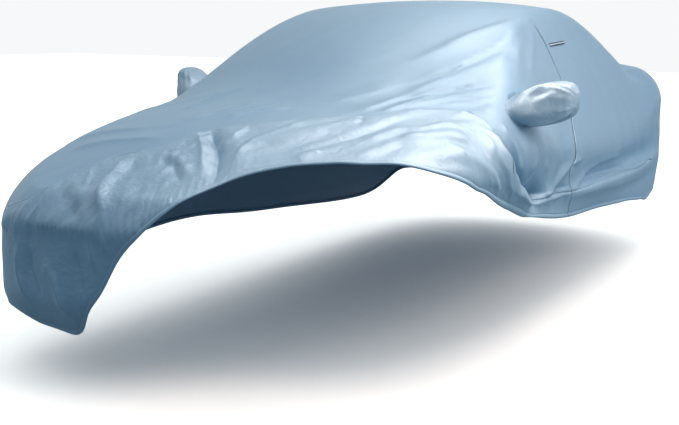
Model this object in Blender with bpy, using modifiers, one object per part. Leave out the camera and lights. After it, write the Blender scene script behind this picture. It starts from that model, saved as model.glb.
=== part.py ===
"""A fitted cloth cover, hanging as it does in use, with the hem of its front left corner
pushed up over the nose.

All sizes are in metres: +X is the cover's left side, +Y its back and +Z up. Heights are
written down from the floor, and y from a line 0.9 behind the front end. The last step moves
the shape, so that the origin lies under the top of the crown, which holds the cover up.

Every point of the cloth has a place on a flat pattern: the plan seen from above, with the
walls folded outwards. So a pattern point inside the outline lies on the top, and one that
is 0.3 outside it lies 0.3 down the wall.
"""
import math

import bmesh
import bpy
import numpy as np
from mathutils import Vector
from mathutils.bvhtree import BVHTree

CLOTH = 0.002            # thickness of the cloth
SEAM_GAP = 0.0008        # between the edges of two pieces that a seam joins
LAID_GAP = 0.0006        # under a piece that is laid on the cloth

ORIGIN = (0.0, 1.58, 1.372)      # under the top of the crown

PLAN = dict(half_width=0.84, front=-0.90, back=3.31, front_corner=0.35, back_corner=0.55,
            front_bow=0.075, back_bow=0.125, end_taper=0.04)
# The columns of cloth start from a line along the middle, which turns to the right at its
# front, where the seam runs slantwise over the nose.
SPINE = dict(share=0.10, turn_x=-0.30, front_y=-0.02, straight_y=0.40)
LOW_LINE = [  # y, height of the nose, waist and tail on the centre line
    (-0.90, 0.655), (-0.35, 0.860), (0.35, 0.973), (1.20, 0.924),
    (2.20, 0.907), (2.95, 1.074), (3.31, 0.931)]
LOW_CAMBER = dict(fall=0.075, half_width=0.8, power=2.5)
FRONT_SLOPE = dict(foot_y=0.08, foot_z=0.916, head_y=0.75, head_z=1.295, bow=0.22)
CROWN = dict(y=1.58, z=1.378, half_length=0.6, fall_along=0.034, half_width=0.55, fall_across=0.039)
REAR_SLOPE = dict(foot_y=2.66, foot_z=0.965, head_y=2.025, head_z=1.279, bow=-0.10)
SLOPE_HALF_WIDTH = 0.7
SIDE_SLOPE = dict(waist_x=0.789, waist_z=0.884, rail_x=0.595, rail_z=1.272)
SOFTNESS = dict(front=0.16, rear=0.12, side=0.08, waist=0.10)   # how widely two slopes blend
SHOULDER = dict(side=0.155, end=0.085)                     # radius between the top and a wall
WALL = dict(bulge=0.005, bulge_depth=0.25, tuck=0.030, tuck_depth=0.30, tuck_reach=0.35,
            end_tuck=0.060, end_depth=0.22, end_reach=0.16)

# The seam between the top and the skirt, and the hem, by their pattern points. These rows
# run from the right front corner, over the nose, to the left side in front of the zip.
EDGES_FRONT = [  # seam x, seam y, hem x, hem y, spine y
    (-0.620, -0.795, -0.727, -1.066, -0.02),
    (-0.482, -0.818, -0.560, -1.195, -0.02),
    (-0.430, -0.763, -0.420, -1.233, -0.02),
    (-0.399, -0.698, -0.329, -1.253, -0.02),
    (-0.371, -0.630, -0.235, -1.190, -0.02),
    (-0.331, -0.580, -0.145, -1.105, -0.02),
    (-0.248, -0.532, -0.060, -0.975, -0.02),
    (-0.181, -0.480, 0.030, -0.893, -0.02),
    (-0.140, -0.395, 0.105, -0.835, -0.02),
    (-0.095, -0.325, 0.160, -0.735, -0.02),
    (0.015, -0.262, 0.231, -0.625, 0.00),
    (0.100, -0.206, 0.341, -0.539, 0.04),
    (0.194, -0.155, 0.465, -0.474, 0.09),
    (0.288, -0.088, 0.575, -0.424, 0.20),
    (0.395, -0.010, 0.675, -0.374, 0.30),
    (0.465, 0.089, 0.760, -0.296, 0.42),
    (0.553, 0.180, 0.812, -0.165, 0.56),
    (0.640, 0.222, 0.832, -0.050, 0.70),
    (0.717, 0.231, 0.868, 0.035, 0.82),
    (0.775, 0.214, 0.908, 0.105, 0.90),
    (0.822, 0.215, 0.952, 0.195, 0.96),
    (0.870, 0.301, 0.992, 0.290, 1.00),
    (0.954, 0.394, 1.030, 0.395, 1.04),
    (0.996, 0.593, 1.065, 0.560, 1.09),
    (0.982, 0.780, 1.087, 0.765, 1.14)]
ZIP_ROW = (0.981, 0.985, 1.094, 0.973, 1.20)
EDGES_LEFT = [
    (0.972, 1.200, 1.095, 1.200, 1.30),
    (0.957, 1.480, 1.097, 1.480, 1.48),
    (0.951, 1.820, 1.112, 1.820, 1.68),
    (0.968, 2.120, 1.140, 2.120, 1.86),
    (0.996, 2.400, 1.215, 2.420, 2.04)]
# Round the back and the right side the seam and the hem run parallel to the outline.
EDGES_ROUND = [  # distance round the outline from the front centre, seam down, hem down, spine y
    (4.10, 0.225, 0.470, 2.20), (4.42, 0.250, 0.520, 2.40), (4.72, 0.260, 0.530, 2.50),
    (5.15, 0.260, 0.535, 2.50), (5.60, 0.260, 0.535, 2.50), (6.02, 0.260, 0.530, 2.50),
    (6.32, 0.250, 0.520, 2.40), (6.64, 0.215, 0.490, 2.20), (7.05, 0.170, 0.450, 1.90),
    (7.55, 0.135, 0.415, 1.55),
    (8.02, 0.125, 0.400, 1.24), (8.32, 0.125, 0.395, 1.02), (8.575, 0.120, 0.390, 0.84),
    (8.81, 0.112, 0.389, 0.65), (9.07, 0.092, 0.383, 0.44), (9.38, 0.057, 0.369, 0.20),
    (9.68, 0.010, 0.340, 0.02), (9.93, -0.030, 0.300, -0.02)]
COLUMNS_PER_ROW = 2      # columns of cloth between two rows of these tables
TOP_ROWS = 16
SKIRT_ROWS = 5

# The main folds, each a line on the pattern. Lift is outwards, and a trough is negative.
FOLDS = [  # lift, half width at the start, at the end, points
    # the pushed-up skirt stands over a trough below the side pocket
    (0.030, 0.050, 0.055, [(0.785, 0.120), (0.835, 0.160), (0.895, 0.255), (0.975, 0.380), (1.015, 0.520)]),
    (-0.028, 0.035, 0.070, [(0.850, 0.270), (0.905, 0.370), (0.955, 0.480), (0.965, 0.610)]),
    (-0.012, 0.045, 0.050, [(0.972, 0.660), (0.930, 0.770), (0.865, 0.900), (0.840, 0.990)]),
    # the trough and the ridge along the lower side, behind the zip
    (-0.022, 0.035, 0.060, [(0.950, 1.010), (0.915, 1.200), (0.890, 1.480), (0.895, 1.850),
                            (0.930, 2.300), (1.000, 2.640)]),
    (0.013, 0.035, 0.045, [(1.000, 0.640), (0.988, 1.010), (0.970, 1.360), (0.960, 1.840),
                           (0.995, 2.330), (1.075, 2.660)]),
    (-0.010, 0.035, 0.035, [(1.175, 2.731), (1.053, 2.266), (1.022, 1.855)]),
    # folds of the skirt where it lies pushed up on the nose
    (0.016, 0.030, 0.045, [(-0.240, -0.595), (-0.223, -0.700), (-0.192, -0.813), (-0.105, -0.885)]),
    (-0.016, 0.030, 0.030, [(-0.092, -0.336), (0.064, -0.508), (0.163, -0.674)]),
    (0.013, 0.030, 0.040, [(-0.030, -0.300), (0.120, -0.470), (0.210, -0.600)]),
    (-0.010, 0.035, 0.050, [(0.251, -0.502), (0.328, -0.385), (0.431, -0.236), (0.502, -0.007)]),
    (0.010, 0.045, 0.050, [(0.200, -0.430), (0.270, -0.330), (0.370, -0.190), (0.440, -0.030)]),
    (0.010, 0.050, 0.050, [(0.600, -0.230), (0.670, -0.100), (0.720, 0.060)]),
    # folds that the side pocket pulls across the front slope
    (0.008, 0.035, 0.050, [(0.590, 0.880), (0.480, 0.700), (0.400, 0.550)]),
    (-0.010, 0.035, 0.060, [(0.620, 0.800), (0.557, 0.595), (0.476, 0.446), (0.380, 0.294), (0.332, 0.150)]),
    (0.009, 0.035, 0.060, [(0.650, 0.700), (0.580, 0.540), (0.490, 0.400), (0.395, 0.260)]),
    (-0.008, 0.035, 0.050, [(0.678, 0.510), (0.560, 0.418), (0.453, 0.291), (0.364, 0.138)])]

FOLD_FADE = dict(start=0.20, end=0.25, least=0.20)   # shares of a fold's length, and of its lift

ZIP = dict(width=0.006, top_x=0.600, bend_reach=0.45, end_share=0.05)
ZIP_LINE = [  # x, y of the zip on the pattern, from the crown's edge to the seam
    (0.600, 1.138), (0.640, 1.180), (0.716, 1.200), (0.777, 1.165), (0.852, 1.060),
    (0.920, 1.010), (0.981, 0.985)]
TAG = dict(start=(0.6440, 1.225), end=(0.6380, 1.460), width=0.016, thick=0.001, points=7,
           outside=0.05)
POCKET = dict(y=0.560, z=0.960, half_depth=0.105, half_height=0.075, squareness=3.0, tip_x=0.955)
POCKET_SECTIONS = [  # share of the way out, share of the mouth's shape, back, half depth, half height
    (0.12, 1.00, 0.000, 0.100, 0.074), (0.28, 0.45, 0.015, 0.100, 0.080),
    (0.46, 0.00, 0.040, 0.096, 0.083), (0.66, 0.00, 0.070, 0.088, 0.083),
    (0.84, 0.00, 0.095, 0.078, 0.080), (0.95, 0.00, 0.110, 0.062, 0.068),
    (1.00, 0.00, 0.118, 0.040, 0.048)]


def clear_scene():
    for obj in list(bpy.data.objects):
        bpy.data.objects.remove(obj, do_unlink=True)


def soft_min(a, b, reach):
    share = np.clip(0.5 + 0.5 * (b - a) / reach, 0.0, 1.0)
    return b * (1.0 - share) + a * share - reach * share * (1.0 - share)


def soft_max(a, b, reach):
    return -soft_min(-a, -b, reach)


def ease(value):
    value = np.clip(value, 0.0, 1.0)
    return value * value * (3.0 - 2.0 * value)


def smooth_curve(xs, values, at):
    """Read a smooth curve through the values that the stations xs have."""
    xs = np.asarray(xs, float)
    values = np.asarray(values, float)
    slopes = np.gradient(values, xs)
    at = np.clip(at, xs[0], xs[-1])
    i = np.clip(np.searchsorted(xs, at) - 1, 0, len(xs) - 2)
    step = xs[i + 1] - xs[i]
    u = (at - xs[i]) / step
    start = (2 * u**3 - 3 * u**2 + 1) * values[i] + (u**3 - 2 * u**2 + u) * step * slopes[i]
    return start + (3 * u**2 - 2 * u**3) * values[i + 1] + (u**3 - u**2) * step * slopes[i + 1]


def slope_line(part, y, out):
    """Height of the front or the rear slope, which bows round towards the sides."""
    rise = (part["head_z"] - part["foot_z"]) / (part["head_y"] - part["foot_y"])
    return part["foot_z"] + rise * (y - part["foot_y"] - part["bow"] * (out / SLOPE_HALF_WIDTH) ** 2)


def top_height(x, y):
    """Height of the form above a point of the plan."""
    out = np.abs(x)
    rows = np.array(LOW_LINE)
    low = (smooth_curve(rows[:, 0], rows[:, 1], y)
           - LOW_CAMBER["fall"] * (out / LOW_CAMBER["half_width"]) ** LOW_CAMBER["power"])
    crown = (CROWN["z"] - CROWN["fall_along"] * ((y - CROWN["y"]) / CROWN["half_length"]) ** 2
             - CROWN["fall_across"] * (out / CROWN["half_width"]) ** 2)
    steepness = ((SIDE_SLOPE["rail_z"] - SIDE_SLOPE["waist_z"])
                 / (SIDE_SLOPE["rail_x"] - SIDE_SLOPE["waist_x"]))
    side = SIDE_SLOPE["waist_z"] + steepness * (out - SIDE_SLOPE["waist_x"])
    high = soft_min(slope_line(FRONT_SLOPE, y, out), crown, SOFTNESS["front"])
    high = soft_min(high, slope_line(REAR_SLOPE, y, out), SOFTNESS["rear"])
    high = soft_min(high, side, SOFTNESS["side"])
    return soft_max(low, high, SOFTNESS["waist"])


def make_outline():
    """The outline of the plan: a rectangle with round corners, whose ends bow and taper."""
    w, front, back = PLAN["half_width"], PLAN["front"], PLAN["back"]
    fore, aft = PLAN["front_corner"], PLAN["back_corner"]
    turn = np.linspace(0.0, math.pi / 2.0, 40)[1:]
    x = np.concatenate([np.linspace(0.0, w - fore, 20), w - fore + fore * np.sin(turn),
                        np.full(60, w), w - aft + aft * np.cos(turn),
                        np.linspace(w - aft, 0.0, 21)[1:]])
    y = np.concatenate([np.full(20, front), front + fore - fore * np.cos(turn),
                        np.linspace(front + fore, back - aft, 61)[1:],
                        back - aft + aft * np.sin(turn), np.full(20, back)])
    middle, half = (front + back) / 2.0, (back - front) / 2.0
    to_front = np.clip((middle - y) / half, 0.0, 1.0)
    to_back = np.clip((y - middle) / half, 0.0, 1.0)
    bow = PLAN["front_bow"] * to_front**3 - PLAN["back_bow"] * to_back**3
    bowed_y = y + (x / w) ** 2 * bow
    bowed_x = x * (1.0 - PLAN["end_taper"] * (to_front**2 + to_back**2))
    points = np.stack([np.concatenate([bowed_x, -bowed_x[-2::-1]]),
                       np.concatenate([bowed_y, bowed_y[-2::-1]])], axis=1)
    run = np.concatenate([[0.0], np.cumsum(np.hypot(*np.diff(points, axis=0).T))])
    return points, run


OUTLINE, OUTLINE_RUN = make_outline()


def on_outline(run, down=0.0):
    """The pattern point at a distance round the outline, and so far down the wall there."""
    girth = OUTLINE_RUN[-1]
    step = 0.02

    def at(distance):
        distance = distance % girth
        return np.array([np.interp(distance, OUTLINE_RUN, OUTLINE[:, k]) for k in (0, 1)])

    along = at(run + step) - at(run - step)
    outward = np.array([along[1], -along[0]]) / np.hypot(*along)
    return at(run) + outward * down


def nearest_on_outline(pattern):
    """For each pattern point: the nearest outline point, the way out, the distance outwards."""
    start, end = OUTLINE[:-1], OUTLINE[1:]
    edge = end - start
    length2 = (edge**2).sum(axis=1)
    to_point = pattern[:, None, :] - start[None]
    share = np.clip((to_point * edge[None]).sum(axis=2) / length2[None], 0.0, 1.0)
    foot = start[None] + share[..., None] * edge[None]
    gap = pattern[:, None, :] - foot
    best = (gap**2).sum(axis=2).argmin(axis=1)
    pick = np.arange(len(pattern))
    near, off, side = foot[pick, best], gap[pick, best], edge[best]
    facing = np.stack([side[:, 1], -side[:, 0]], axis=1)
    facing /= np.hypot(facing[:, 0], facing[:, 1])[:, None]
    distance = np.hypot(off[:, 0], off[:, 1]) * np.sign((off * facing).sum(axis=1))
    far = np.abs(distance) > 1e-4
    out = np.where(far[:, None], off / np.where(far, distance, 1.0)[:, None], facing)
    return near, out, distance


def smooth_place(pattern):
    """The place in space of pattern points, on the cover's form without its folds."""
    near, out, distance = nearest_on_outline(pattern)
    end = np.abs(out[:, 1]) ** 3
    radius = SHOULDER["side"] + (SHOULDER["end"] - SHOULDER["side"]) * end
    inside = np.clip(-distance, 0.0, radius)
    fall = radius - np.sqrt(np.maximum(radius**2 - (radius - inside) ** 2, 0.0))
    down = np.maximum(distance, 0.0)
    proud = (WALL["bulge"] * ease(down / WALL["bulge_depth"])
             - WALL["tuck"] * ease((down - WALL["tuck_depth"]) / WALL["tuck_reach"])
             - WALL["end_tuck"] * end * ease((down - WALL["end_depth"]) / WALL["end_reach"]))
    top = np.where((distance > 0.0)[:, None], near, pattern)
    plan = top + out * np.where(distance > 0.0, proud, 0.0)[:, None]
    height = top_height(top[:, 0], top[:, 1]) - fall - down
    return np.column_stack([plan, height])


def fold_lift(pattern):
    """How far the folds lift each pattern point off the form."""
    lift = np.zeros(len(pattern))
    for rise, start_width, end_width, points in FOLDS:
        points = np.array(points)
        start, edge = points[:-1], np.diff(points, axis=0)
        lengths = np.hypot(edge[:, 0], edge[:, 1])
        so_far = np.concatenate([[0.0], np.cumsum(lengths)])
        to_point = pattern[:, None, :] - start[None]
        share = np.clip((to_point * edge[None]).sum(axis=2) / lengths[None] ** 2, 0.0, 1.0)
        gap = pattern[:, None, :] - start[None] - share[..., None] * edge[None]
        away = np.hypot(gap[..., 0], gap[..., 1])
        best = away.argmin(axis=1)
        pick = np.arange(len(pattern))
        run = (so_far[best] + share[pick, best] * lengths[best]) / so_far[-1]
        width = start_width + (end_width - start_width) * run
        fade = ease(run / FOLD_FADE["start"]) * ease((1.0 - run) / FOLD_FADE["end"])
        fade = FOLD_FADE["least"] + (1.0 - FOLD_FADE["least"]) * fade
        lift += rise * fade * np.exp(-((away[pick, best] / width) ** 2))
    return lift


def place(pattern, depth=0.0):
    """The place in space of pattern points, with the folds, from the part's own origin. A
    depth takes it that far into the cloth from its outer face."""
    pattern = np.atleast_2d(np.asarray(pattern, float))
    step = 0.004
    form = smooth_place(pattern)
    along_x = smooth_place(pattern + [step, 0.0]) - smooth_place(pattern - [step, 0.0])
    along_y = smooth_place(pattern + [0.0, step]) - smooth_place(pattern - [0.0, step])
    normal = np.cross(along_x, along_y)
    normal /= np.linalg.norm(normal, axis=1)[:, None]
    return form + normal * (fold_lift(pattern) - depth)[:, None] - np.array(ORIGIN)


def bend_to_zip(pattern):
    """Shift pattern points lengthways, so that the column of cloth at the zip follows it."""
    line = np.array(ZIP_LINE)
    seam = np.array(ZIP_ROW[:2])
    spine_y = ZIP_ROW[4]
    x = np.clip(pattern[:, 0], 0.0, None)
    straight = spine_y + (seam[1] - spine_y) * x / seam[0]
    wanted = np.interp(x, line[:, 0], line[:, 1])
    inside = ease((x - 0.5 * ZIP["top_x"]) / (0.5 * ZIP["top_x"]))
    near = np.exp(-(((pattern[:, 1] - straight) / ZIP["bend_reach"]) ** 2))
    bent = pattern.copy()
    bent[:, 1] += np.where(x < seam[0], (wanted - straight) * inside * near, 0.0)
    return bent


def edge_columns():
    """The seam, hem and spine points of each column of cloth, from one side of the zip, round
    the back, the right side and the front, to the zip's other side."""
    rows = [ZIP_ROW] + EDGES_LEFT
    rows += [(*on_outline(run, seam), *on_outline(run, hem), spine)
             for run, seam, hem, spine in EDGES_ROUND]
    rows += EDGES_FRONT + [ZIP_ROW]
    table = np.array(rows)
    stations = np.arange(len(rows))
    at = np.linspace(0, len(rows) - 1, (len(rows) - 1) * COLUMNS_PER_ROW + 1)
    return np.column_stack([smooth_curve(stations, table[:, k], at) for k in range(5)])


def spaced_rows(lines, count):
    """Cut each column's pattern line into rows that lie equally far apart in space."""
    result = []
    for line in lines:
        space = place(line)
        run = np.concatenate([[0.0], np.cumsum(np.linalg.norm(np.diff(space, axis=0), axis=1))])
        wanted = np.linspace(0.0, run[-1], count + 1)
        result.append(np.column_stack([np.interp(wanted, run, line[:, k]) for k in (0, 1)]))
    return np.array(result)


def on_spine(y):
    turn = ease((SPINE["straight_y"] - y) / (SPINE["straight_y"] - SPINE["front_y"]))
    return np.array([SPINE["turn_x"] * turn, y])


def open_at_zip(pattern, shift, seam_row, first_row=0):
    """Move the first and last columns of a grid of pattern points, from a row on, apart from
    the zip's middle line. Their corners at the seam slide along it."""
    for column, following, way in ((0, 1, 1.0), (-1, -2, -1.0)):
        line = pattern[column].copy()
        along_seam = pattern[following, seam_row] - line[seam_row]
        along_seam /= np.hypot(*along_seam)
        shifted = beside(line, way * shift)
        slide = shift / abs(along_seam.dot(shifted[seam_row] - line[seam_row]) / shift)
        pattern[column, first_row:] = shifted[first_row:]
        pattern[column, seam_row] = line[seam_row] + along_seam * slide


def beside(line, offset):
    """Shift a pattern line by an offset to the left of the way it runs."""
    along = np.gradient(line, axis=0)
    along /= np.hypot(along[:, 0], along[:, 1])[:, None]
    return line + np.column_stack([-along[:, 1], along[:, 0]]) * offset


def top_pattern():
    """Pattern points of the top panel: one line from the spine to the seam for each column."""
    lines = []
    table = edge_columns()
    seam_line = beside(table[:, :2], SEAM_GAP / 2.0)
    for seam, spine_y in zip(seam_line, table[:, 4]):
        spine = on_spine(spine_y)
        shares = np.linspace(SPINE["share"], 1.0, 120)[:, None]
        lines.append(bend_to_zip(spine + (seam - spine) * shares))
    return spaced_rows(lines, TOP_ROWS)


def skirt_pattern():
    """Pattern points of the skirt: one line from the seam to the hem for each column."""
    lines = []
    table = edge_columns()
    seam_line = beside(table[:, :2], -SEAM_GAP / 2.0)
    for seam, hem in zip(seam_line, table[:, 2:4]):
        shares = np.linspace(0.0, 1.0, 30)[:, None]
        lines.append(seam + (hem - seam) * shares)
    return spaced_rows(lines, SKIRT_ROWS)


def make_material(name, colour, roughness, metallic=0.0):
    material = bpy.data.materials.new(name)
    material.use_nodes = True
    shader = material.node_tree.nodes["Principled BSDF"]
    shader.inputs["Base Color"].default_value = (*colour, 1.0)
    shader.inputs["Roughness"].default_value = roughness
    shader.inputs["Metallic"].default_value = metallic
    return material


def point_outwards(bm, inside):
    """Turn every face of a sheet so that it looks away from a point inside it."""
    bmesh.ops.recalc_face_normals(bm, faces=bm.faces)
    facing = sum(face.normal.dot(face.calc_center_median() - inside) * face.calc_area()
                 for face in bm.faces)
    if facing < 0.0:
        bmesh.ops.reverse_faces(bm, faces=bm.faces)


def build_top(collection, material):
    """The top panel, with the slit for the zip and a hole for each side pocket."""
    pattern = top_pattern()
    columns, rows = pattern.shape[:2]
    shift = ZIP["width"] / 2.0 + SEAM_GAP / 2.0
    slit_row = next(r for r in range(rows) if pattern[0, r, 0] > ZIP["top_x"])
    open_at_zip(pattern, shift, rows - 1, slit_row)
    points, inner = faces_of_cloth(pattern)

    bm = bmesh.new()
    inward = bm.verts.layers.float_vector.new("inward")
    verts = {}
    for c in range(columns):
        for r in range(rows):
            twin = verts.get((0, r)) if c == columns - 1 and r < slit_row else None
            verts[c, r] = twin or bm.verts.new(points[c, r])
            verts[c, r][inward] = inner[c, r] - points[c, r]
    holes = [pocket_hole(points, hole_side) for hole_side in (1.0, -1.0)]
    for c in range(columns - 1):
        for r in range(rows - 1):
            if not any(c0 <= c < c1 and r0 <= r < r1 for c0, c1, r0, r1 in holes):
                bm.faces.new([verts[c, r], verts[c + 1, r], verts[c + 1, r + 1], verts[c, r + 1]])
    fill_middle(bm, [verts[c, 0] for c in range(columns - 1)])
    thicken(bm)
    rims = [hole_rim(points, hole) for hole in holes]
    return finish(bm, "top_panel", collection, material), rims


def fill_middle(bm, ring):
    """Fill the long ring along the middle with triangles, from its front to its back."""
    front = min(range(len(ring)), key=lambda i: ring[i].co.y)
    ring = ring[front:] + ring[:front]
    back = max(range(len(ring)), key=lambda i: ring[i].co.y)
    one, other = ring[:back + 1], [ring[0]] + ring[:back - 1:-1]
    i = j = 0
    while i < len(one) - 1 or j < len(other) - 1:
        step_one = j == len(other) - 1 or (i < len(one) - 1 and one[i + 1].co.y < other[j + 1].co.y)
        ahead = one[i + 1] if step_one else other[j + 1]
        corners = [one[i], ahead, other[j]]
        if len(set(corners)) == 3:
            bm.faces.new(corners)
        i, j = (i + 1, j) if step_one else (i, j + 1)


def pocket_hole(points, side):
    """The columns and rows of the grid between which the hole of a pocket lies."""
    centres = (points[:-1, :-1] + points[1:, :-1] + points[1:, 1:] + points[:-1, 1:]) / 4.0
    y_gap = (centres[..., 1] + ORIGIN[1] - POCKET["y"]) / POCKET["half_depth"]
    z_gap = (centres[..., 2] + ORIGIN[2] - POCKET["z"]) / POCKET["half_height"]
    far = np.where(centres[..., 0] * side > 0.5, np.hypot(y_gap, z_gap), np.inf)
    middle_c, middle_r = np.unravel_index(far.argmin(), far.shape)
    c = np.nonzero((np.abs(y_gap[:, middle_r]) < 1.0) & np.isfinite(far[:, middle_r]))[0]
    r = np.nonzero((np.abs(z_gap[middle_c]) < 1.0) & np.isfinite(far[middle_c]))[0]
    return c[0], c[-1] + 1, r[0], r[-1] + 1


def hole_rim(points, hole):
    """The corners round a hole in the grid, in order."""
    c0, c1, r0, r1 = hole
    ring = [(c, r0) for c in range(c0, c1)] + [(c1, r) for r in range(r0, r1)]
    ring += [(c, r1) for c in range(c1, c0, -1)] + [(c0, r) for r in range(r1, r0, -1)]
    return np.array([points[c, r] for c, r in ring])


def faces_of_cloth(pattern):
    """The outer and the inner points of a grid of pattern points."""
    flat = pattern.reshape(-1, 2)
    return place(flat).reshape(*pattern.shape[:2], 3), place(flat, CLOTH).reshape(*pattern.shape[:2], 3)


def thicken(bm):
    """Turn a sheet into a closed shell. Each point of its inner face lies the vertex's own
    inward step away, so that the edges of two pieces stay parallel along their seam."""
    inward = bm.verts.layers.float_vector["inward"]
    made = bmesh.ops.extrude_face_region(bm, geom=bm.faces[:], use_keep_orig=True)["geom"]
    for vert in made:
        if isinstance(vert, bmesh.types.BMVert):
            vert.co += vert[inward]
    bmesh.ops.recalc_face_normals(bm, faces=bm.faces)


def finish(bm, name, collection, material, thickness=0.0):
    """Make a bmesh into a named object. A sheet, whose faces look outwards, gets its
    thickness on the inside."""
    mesh = bpy.data.meshes.new(name)
    bm.to_mesh(mesh)
    bm.free()
    mesh.shade_smooth()
    mesh.materials.append(material)
    obj = bpy.data.objects.new(name, mesh)
    collection.objects.link(obj)
    if thickness:
        solidify = obj.modifiers.new("cloth", "SOLIDIFY")
        solidify.thickness = thickness
        solidify.offset = -1.0
    return obj


def loft(bm, sections, close=False):
    """Join sections of the same number of points with faces."""
    rings = [[bm.verts.new(point) for point in section] for section in sections]
    count = len(rings[0])
    for first, second in zip(rings, rings[1:]):
        for i in range(count if close else count - 1):
            j = (i + 1) % count
            bm.faces.new([first[i], first[j], second[j], second[i]])
    return rings


def build_strip(name, pattern, collection, material):
    """A piece of cloth without holes, from its grid of pattern points."""
    points, inner = faces_of_cloth(pattern)
    bm = bmesh.new()
    inward = bm.verts.layers.float_vector.new("inward")
    rings = loft(bm, points)
    for c, ring in enumerate(rings):
        for r, vert in enumerate(ring):
            vert[inward] = inner[c, r] - points[c, r]
    thicken(bm)
    return finish(bm, name, collection, material)


def build_skirt(collection, material):
    """The skirt: one band right round the cover, from one side of the zip to the other."""
    pattern = skirt_pattern()
    shift = ZIP["width"] / 2.0 + SEAM_GAP / 2.0
    open_at_zip(pattern, shift, 0)
    return build_strip("skirt", pattern, collection, material)


def build_zip(collection, material):
    """The zip: a narrow strip from the hem to the crown's edge."""
    half = ZIP["width"] / 2.0
    top = top_pattern()[0]
    skirt = skirt_pattern()[0]
    slit_row = next(r for r in range(len(top)) if top[r, 0] > ZIP["top_x"])
    pattern = np.array([np.concatenate([beside(top, way * half)[slit_row:], beside(skirt, way * half)])
                        for way in (1.0, -1.0)])
    pattern[:, 0] += (pattern[:, 1] - pattern[:, 0]) * ZIP["end_share"]
    return build_strip("side_zip", pattern, collection, material)


def build_pocket(name, side, rim, collection, material):
    """A side pocket: its mouth stands in the hole of the top panel, and its end is round."""
    centre = rim.mean(axis=0)
    inward = centre - rim
    mouth = rim + inward / np.linalg.norm(inward, axis=1)[:, None] * SEAM_GAP
    angles = np.arctan2(rim[:, 2] - centre[2], rim[:, 1] - centre[1])
    power = 2.0 / POCKET["squareness"]
    sections = [mouth]
    for share, mouth_share, back, depth, height in POCKET_SECTIONS:
        across = np.sign(np.cos(angles)) * np.abs(np.cos(angles)) ** power * depth
        up = np.sign(np.sin(angles)) * np.abs(np.sin(angles)) ** power * height
        x = mouth[:, 0] + (side * POCKET["tip_x"] - mouth[:, 0]) * share
        y = POCKET["y"] - ORIGIN[1] + back + across
        z = POCKET["z"] - ORIGIN[2] + up
        section = np.column_stack([x, y, z])
        section[:, 1:] += (mouth[:, 1:] - section[:, 1:]) * mouth_share
        sections.append(section)
    bm = bmesh.new()
    rings = loft(bm, sections, close=True)
    bm.faces.new(rings[-1])
    bmesh.ops.triangulate(bm, faces=[face for face in bm.faces if len(face.verts) > 4])
    middle_x = (centre[0] + side * POCKET["tip_x"]) / 2.0
    point_outwards(bm, Vector((middle_x, centre[1], centre[2])))
    return finish(bm, name, collection, material, CLOTH)


def build_tag(top_panel, collection, material):
    """The small woven tag, laid on the cloth beside the zip. Each of its points is sought on
    the cloth from a place that lies outside it."""
    start, end = np.array(TAG["start"]), np.array(TAG["end"])
    line = start + (end - start) * np.linspace(0.0, 1.0, TAG["points"])[:, None]
    middle = place(line)
    depsgraph = bpy.context.evaluated_depsgraph_get()
    cloth = BVHTree.FromObject(top_panel, depsgraph)
    lift = LAID_GAP + TAG["thick"]
    sections = []
    for way in (-0.5, 0.5):
        section = []
        for point in middle:
            spot, normal, _, _ = cloth.find_nearest(Vector(point) + Vector((TAG["outside"], 0.0, 0.0)))
            down = normal.cross(Vector((0.0, 1.0, 0.0))).normalized()
            edge, normal, _, _ = cloth.find_nearest(spot + down * TAG["width"] * way + normal * CLOTH)
            section.append(edge + normal * lift)
        sections.append(section)
    bm = bmesh.new()
    loft(bm, sections)
    point_outwards(bm, Vector((0.0, 0.0, -ORIGIN[2] / 2.0)))
    return finish(bm, "tag", collection, material, TAG["thick"])


def main():
    clear_scene()
    collection = bpy.data.collections.new("fitted_cover")
    bpy.context.scene.collection.children.link(collection)
    cloth = make_material("light_blue_polyester", (0.33, 0.47, 0.60), 0.55)
    zip_tape = make_material("zip_tape", (0.10, 0.16, 0.22), 0.60)
    woven = make_material("woven_tag", (0.02, 0.03, 0.08), 0.70)

    top_panel, rims = build_top(collection, cloth)
    build_skirt(collection, cloth)
    build_pocket("side_pocket_left", 1.0, rims[0], collection, cloth)
    build_pocket("side_pocket_right", -1.0, rims[1], collection, cloth)
    build_zip(collection, zip_tape)
    build_tag(top_panel, collection, woven)


main()
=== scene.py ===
# Looks of a fitted cloth cover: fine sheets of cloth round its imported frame, with their folds,
# seams, gathered hem, side pockets, zip and tag. Metres, with +X the cover's left, +Y its back.
import math

import bmesh
import bpy
import numpy as np
from mathutils import Matrix, Vector, noise


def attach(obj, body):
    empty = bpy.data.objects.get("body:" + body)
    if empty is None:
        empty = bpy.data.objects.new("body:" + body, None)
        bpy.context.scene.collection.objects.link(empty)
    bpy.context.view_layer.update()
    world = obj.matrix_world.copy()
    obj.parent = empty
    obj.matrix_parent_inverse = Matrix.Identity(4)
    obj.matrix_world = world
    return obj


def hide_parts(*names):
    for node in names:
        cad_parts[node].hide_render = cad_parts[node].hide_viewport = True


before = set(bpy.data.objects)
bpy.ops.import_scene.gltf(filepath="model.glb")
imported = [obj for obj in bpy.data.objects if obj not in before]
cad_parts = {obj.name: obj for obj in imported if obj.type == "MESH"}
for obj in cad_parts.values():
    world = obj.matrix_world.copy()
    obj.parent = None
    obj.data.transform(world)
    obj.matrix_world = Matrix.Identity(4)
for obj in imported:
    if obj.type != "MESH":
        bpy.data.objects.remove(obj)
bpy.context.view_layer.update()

origin = np.array((0.0, 1.58, 1.372))     # under the top of the crown, above the floor

# the form that the cloth hangs on, as in the part's own source

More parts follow.
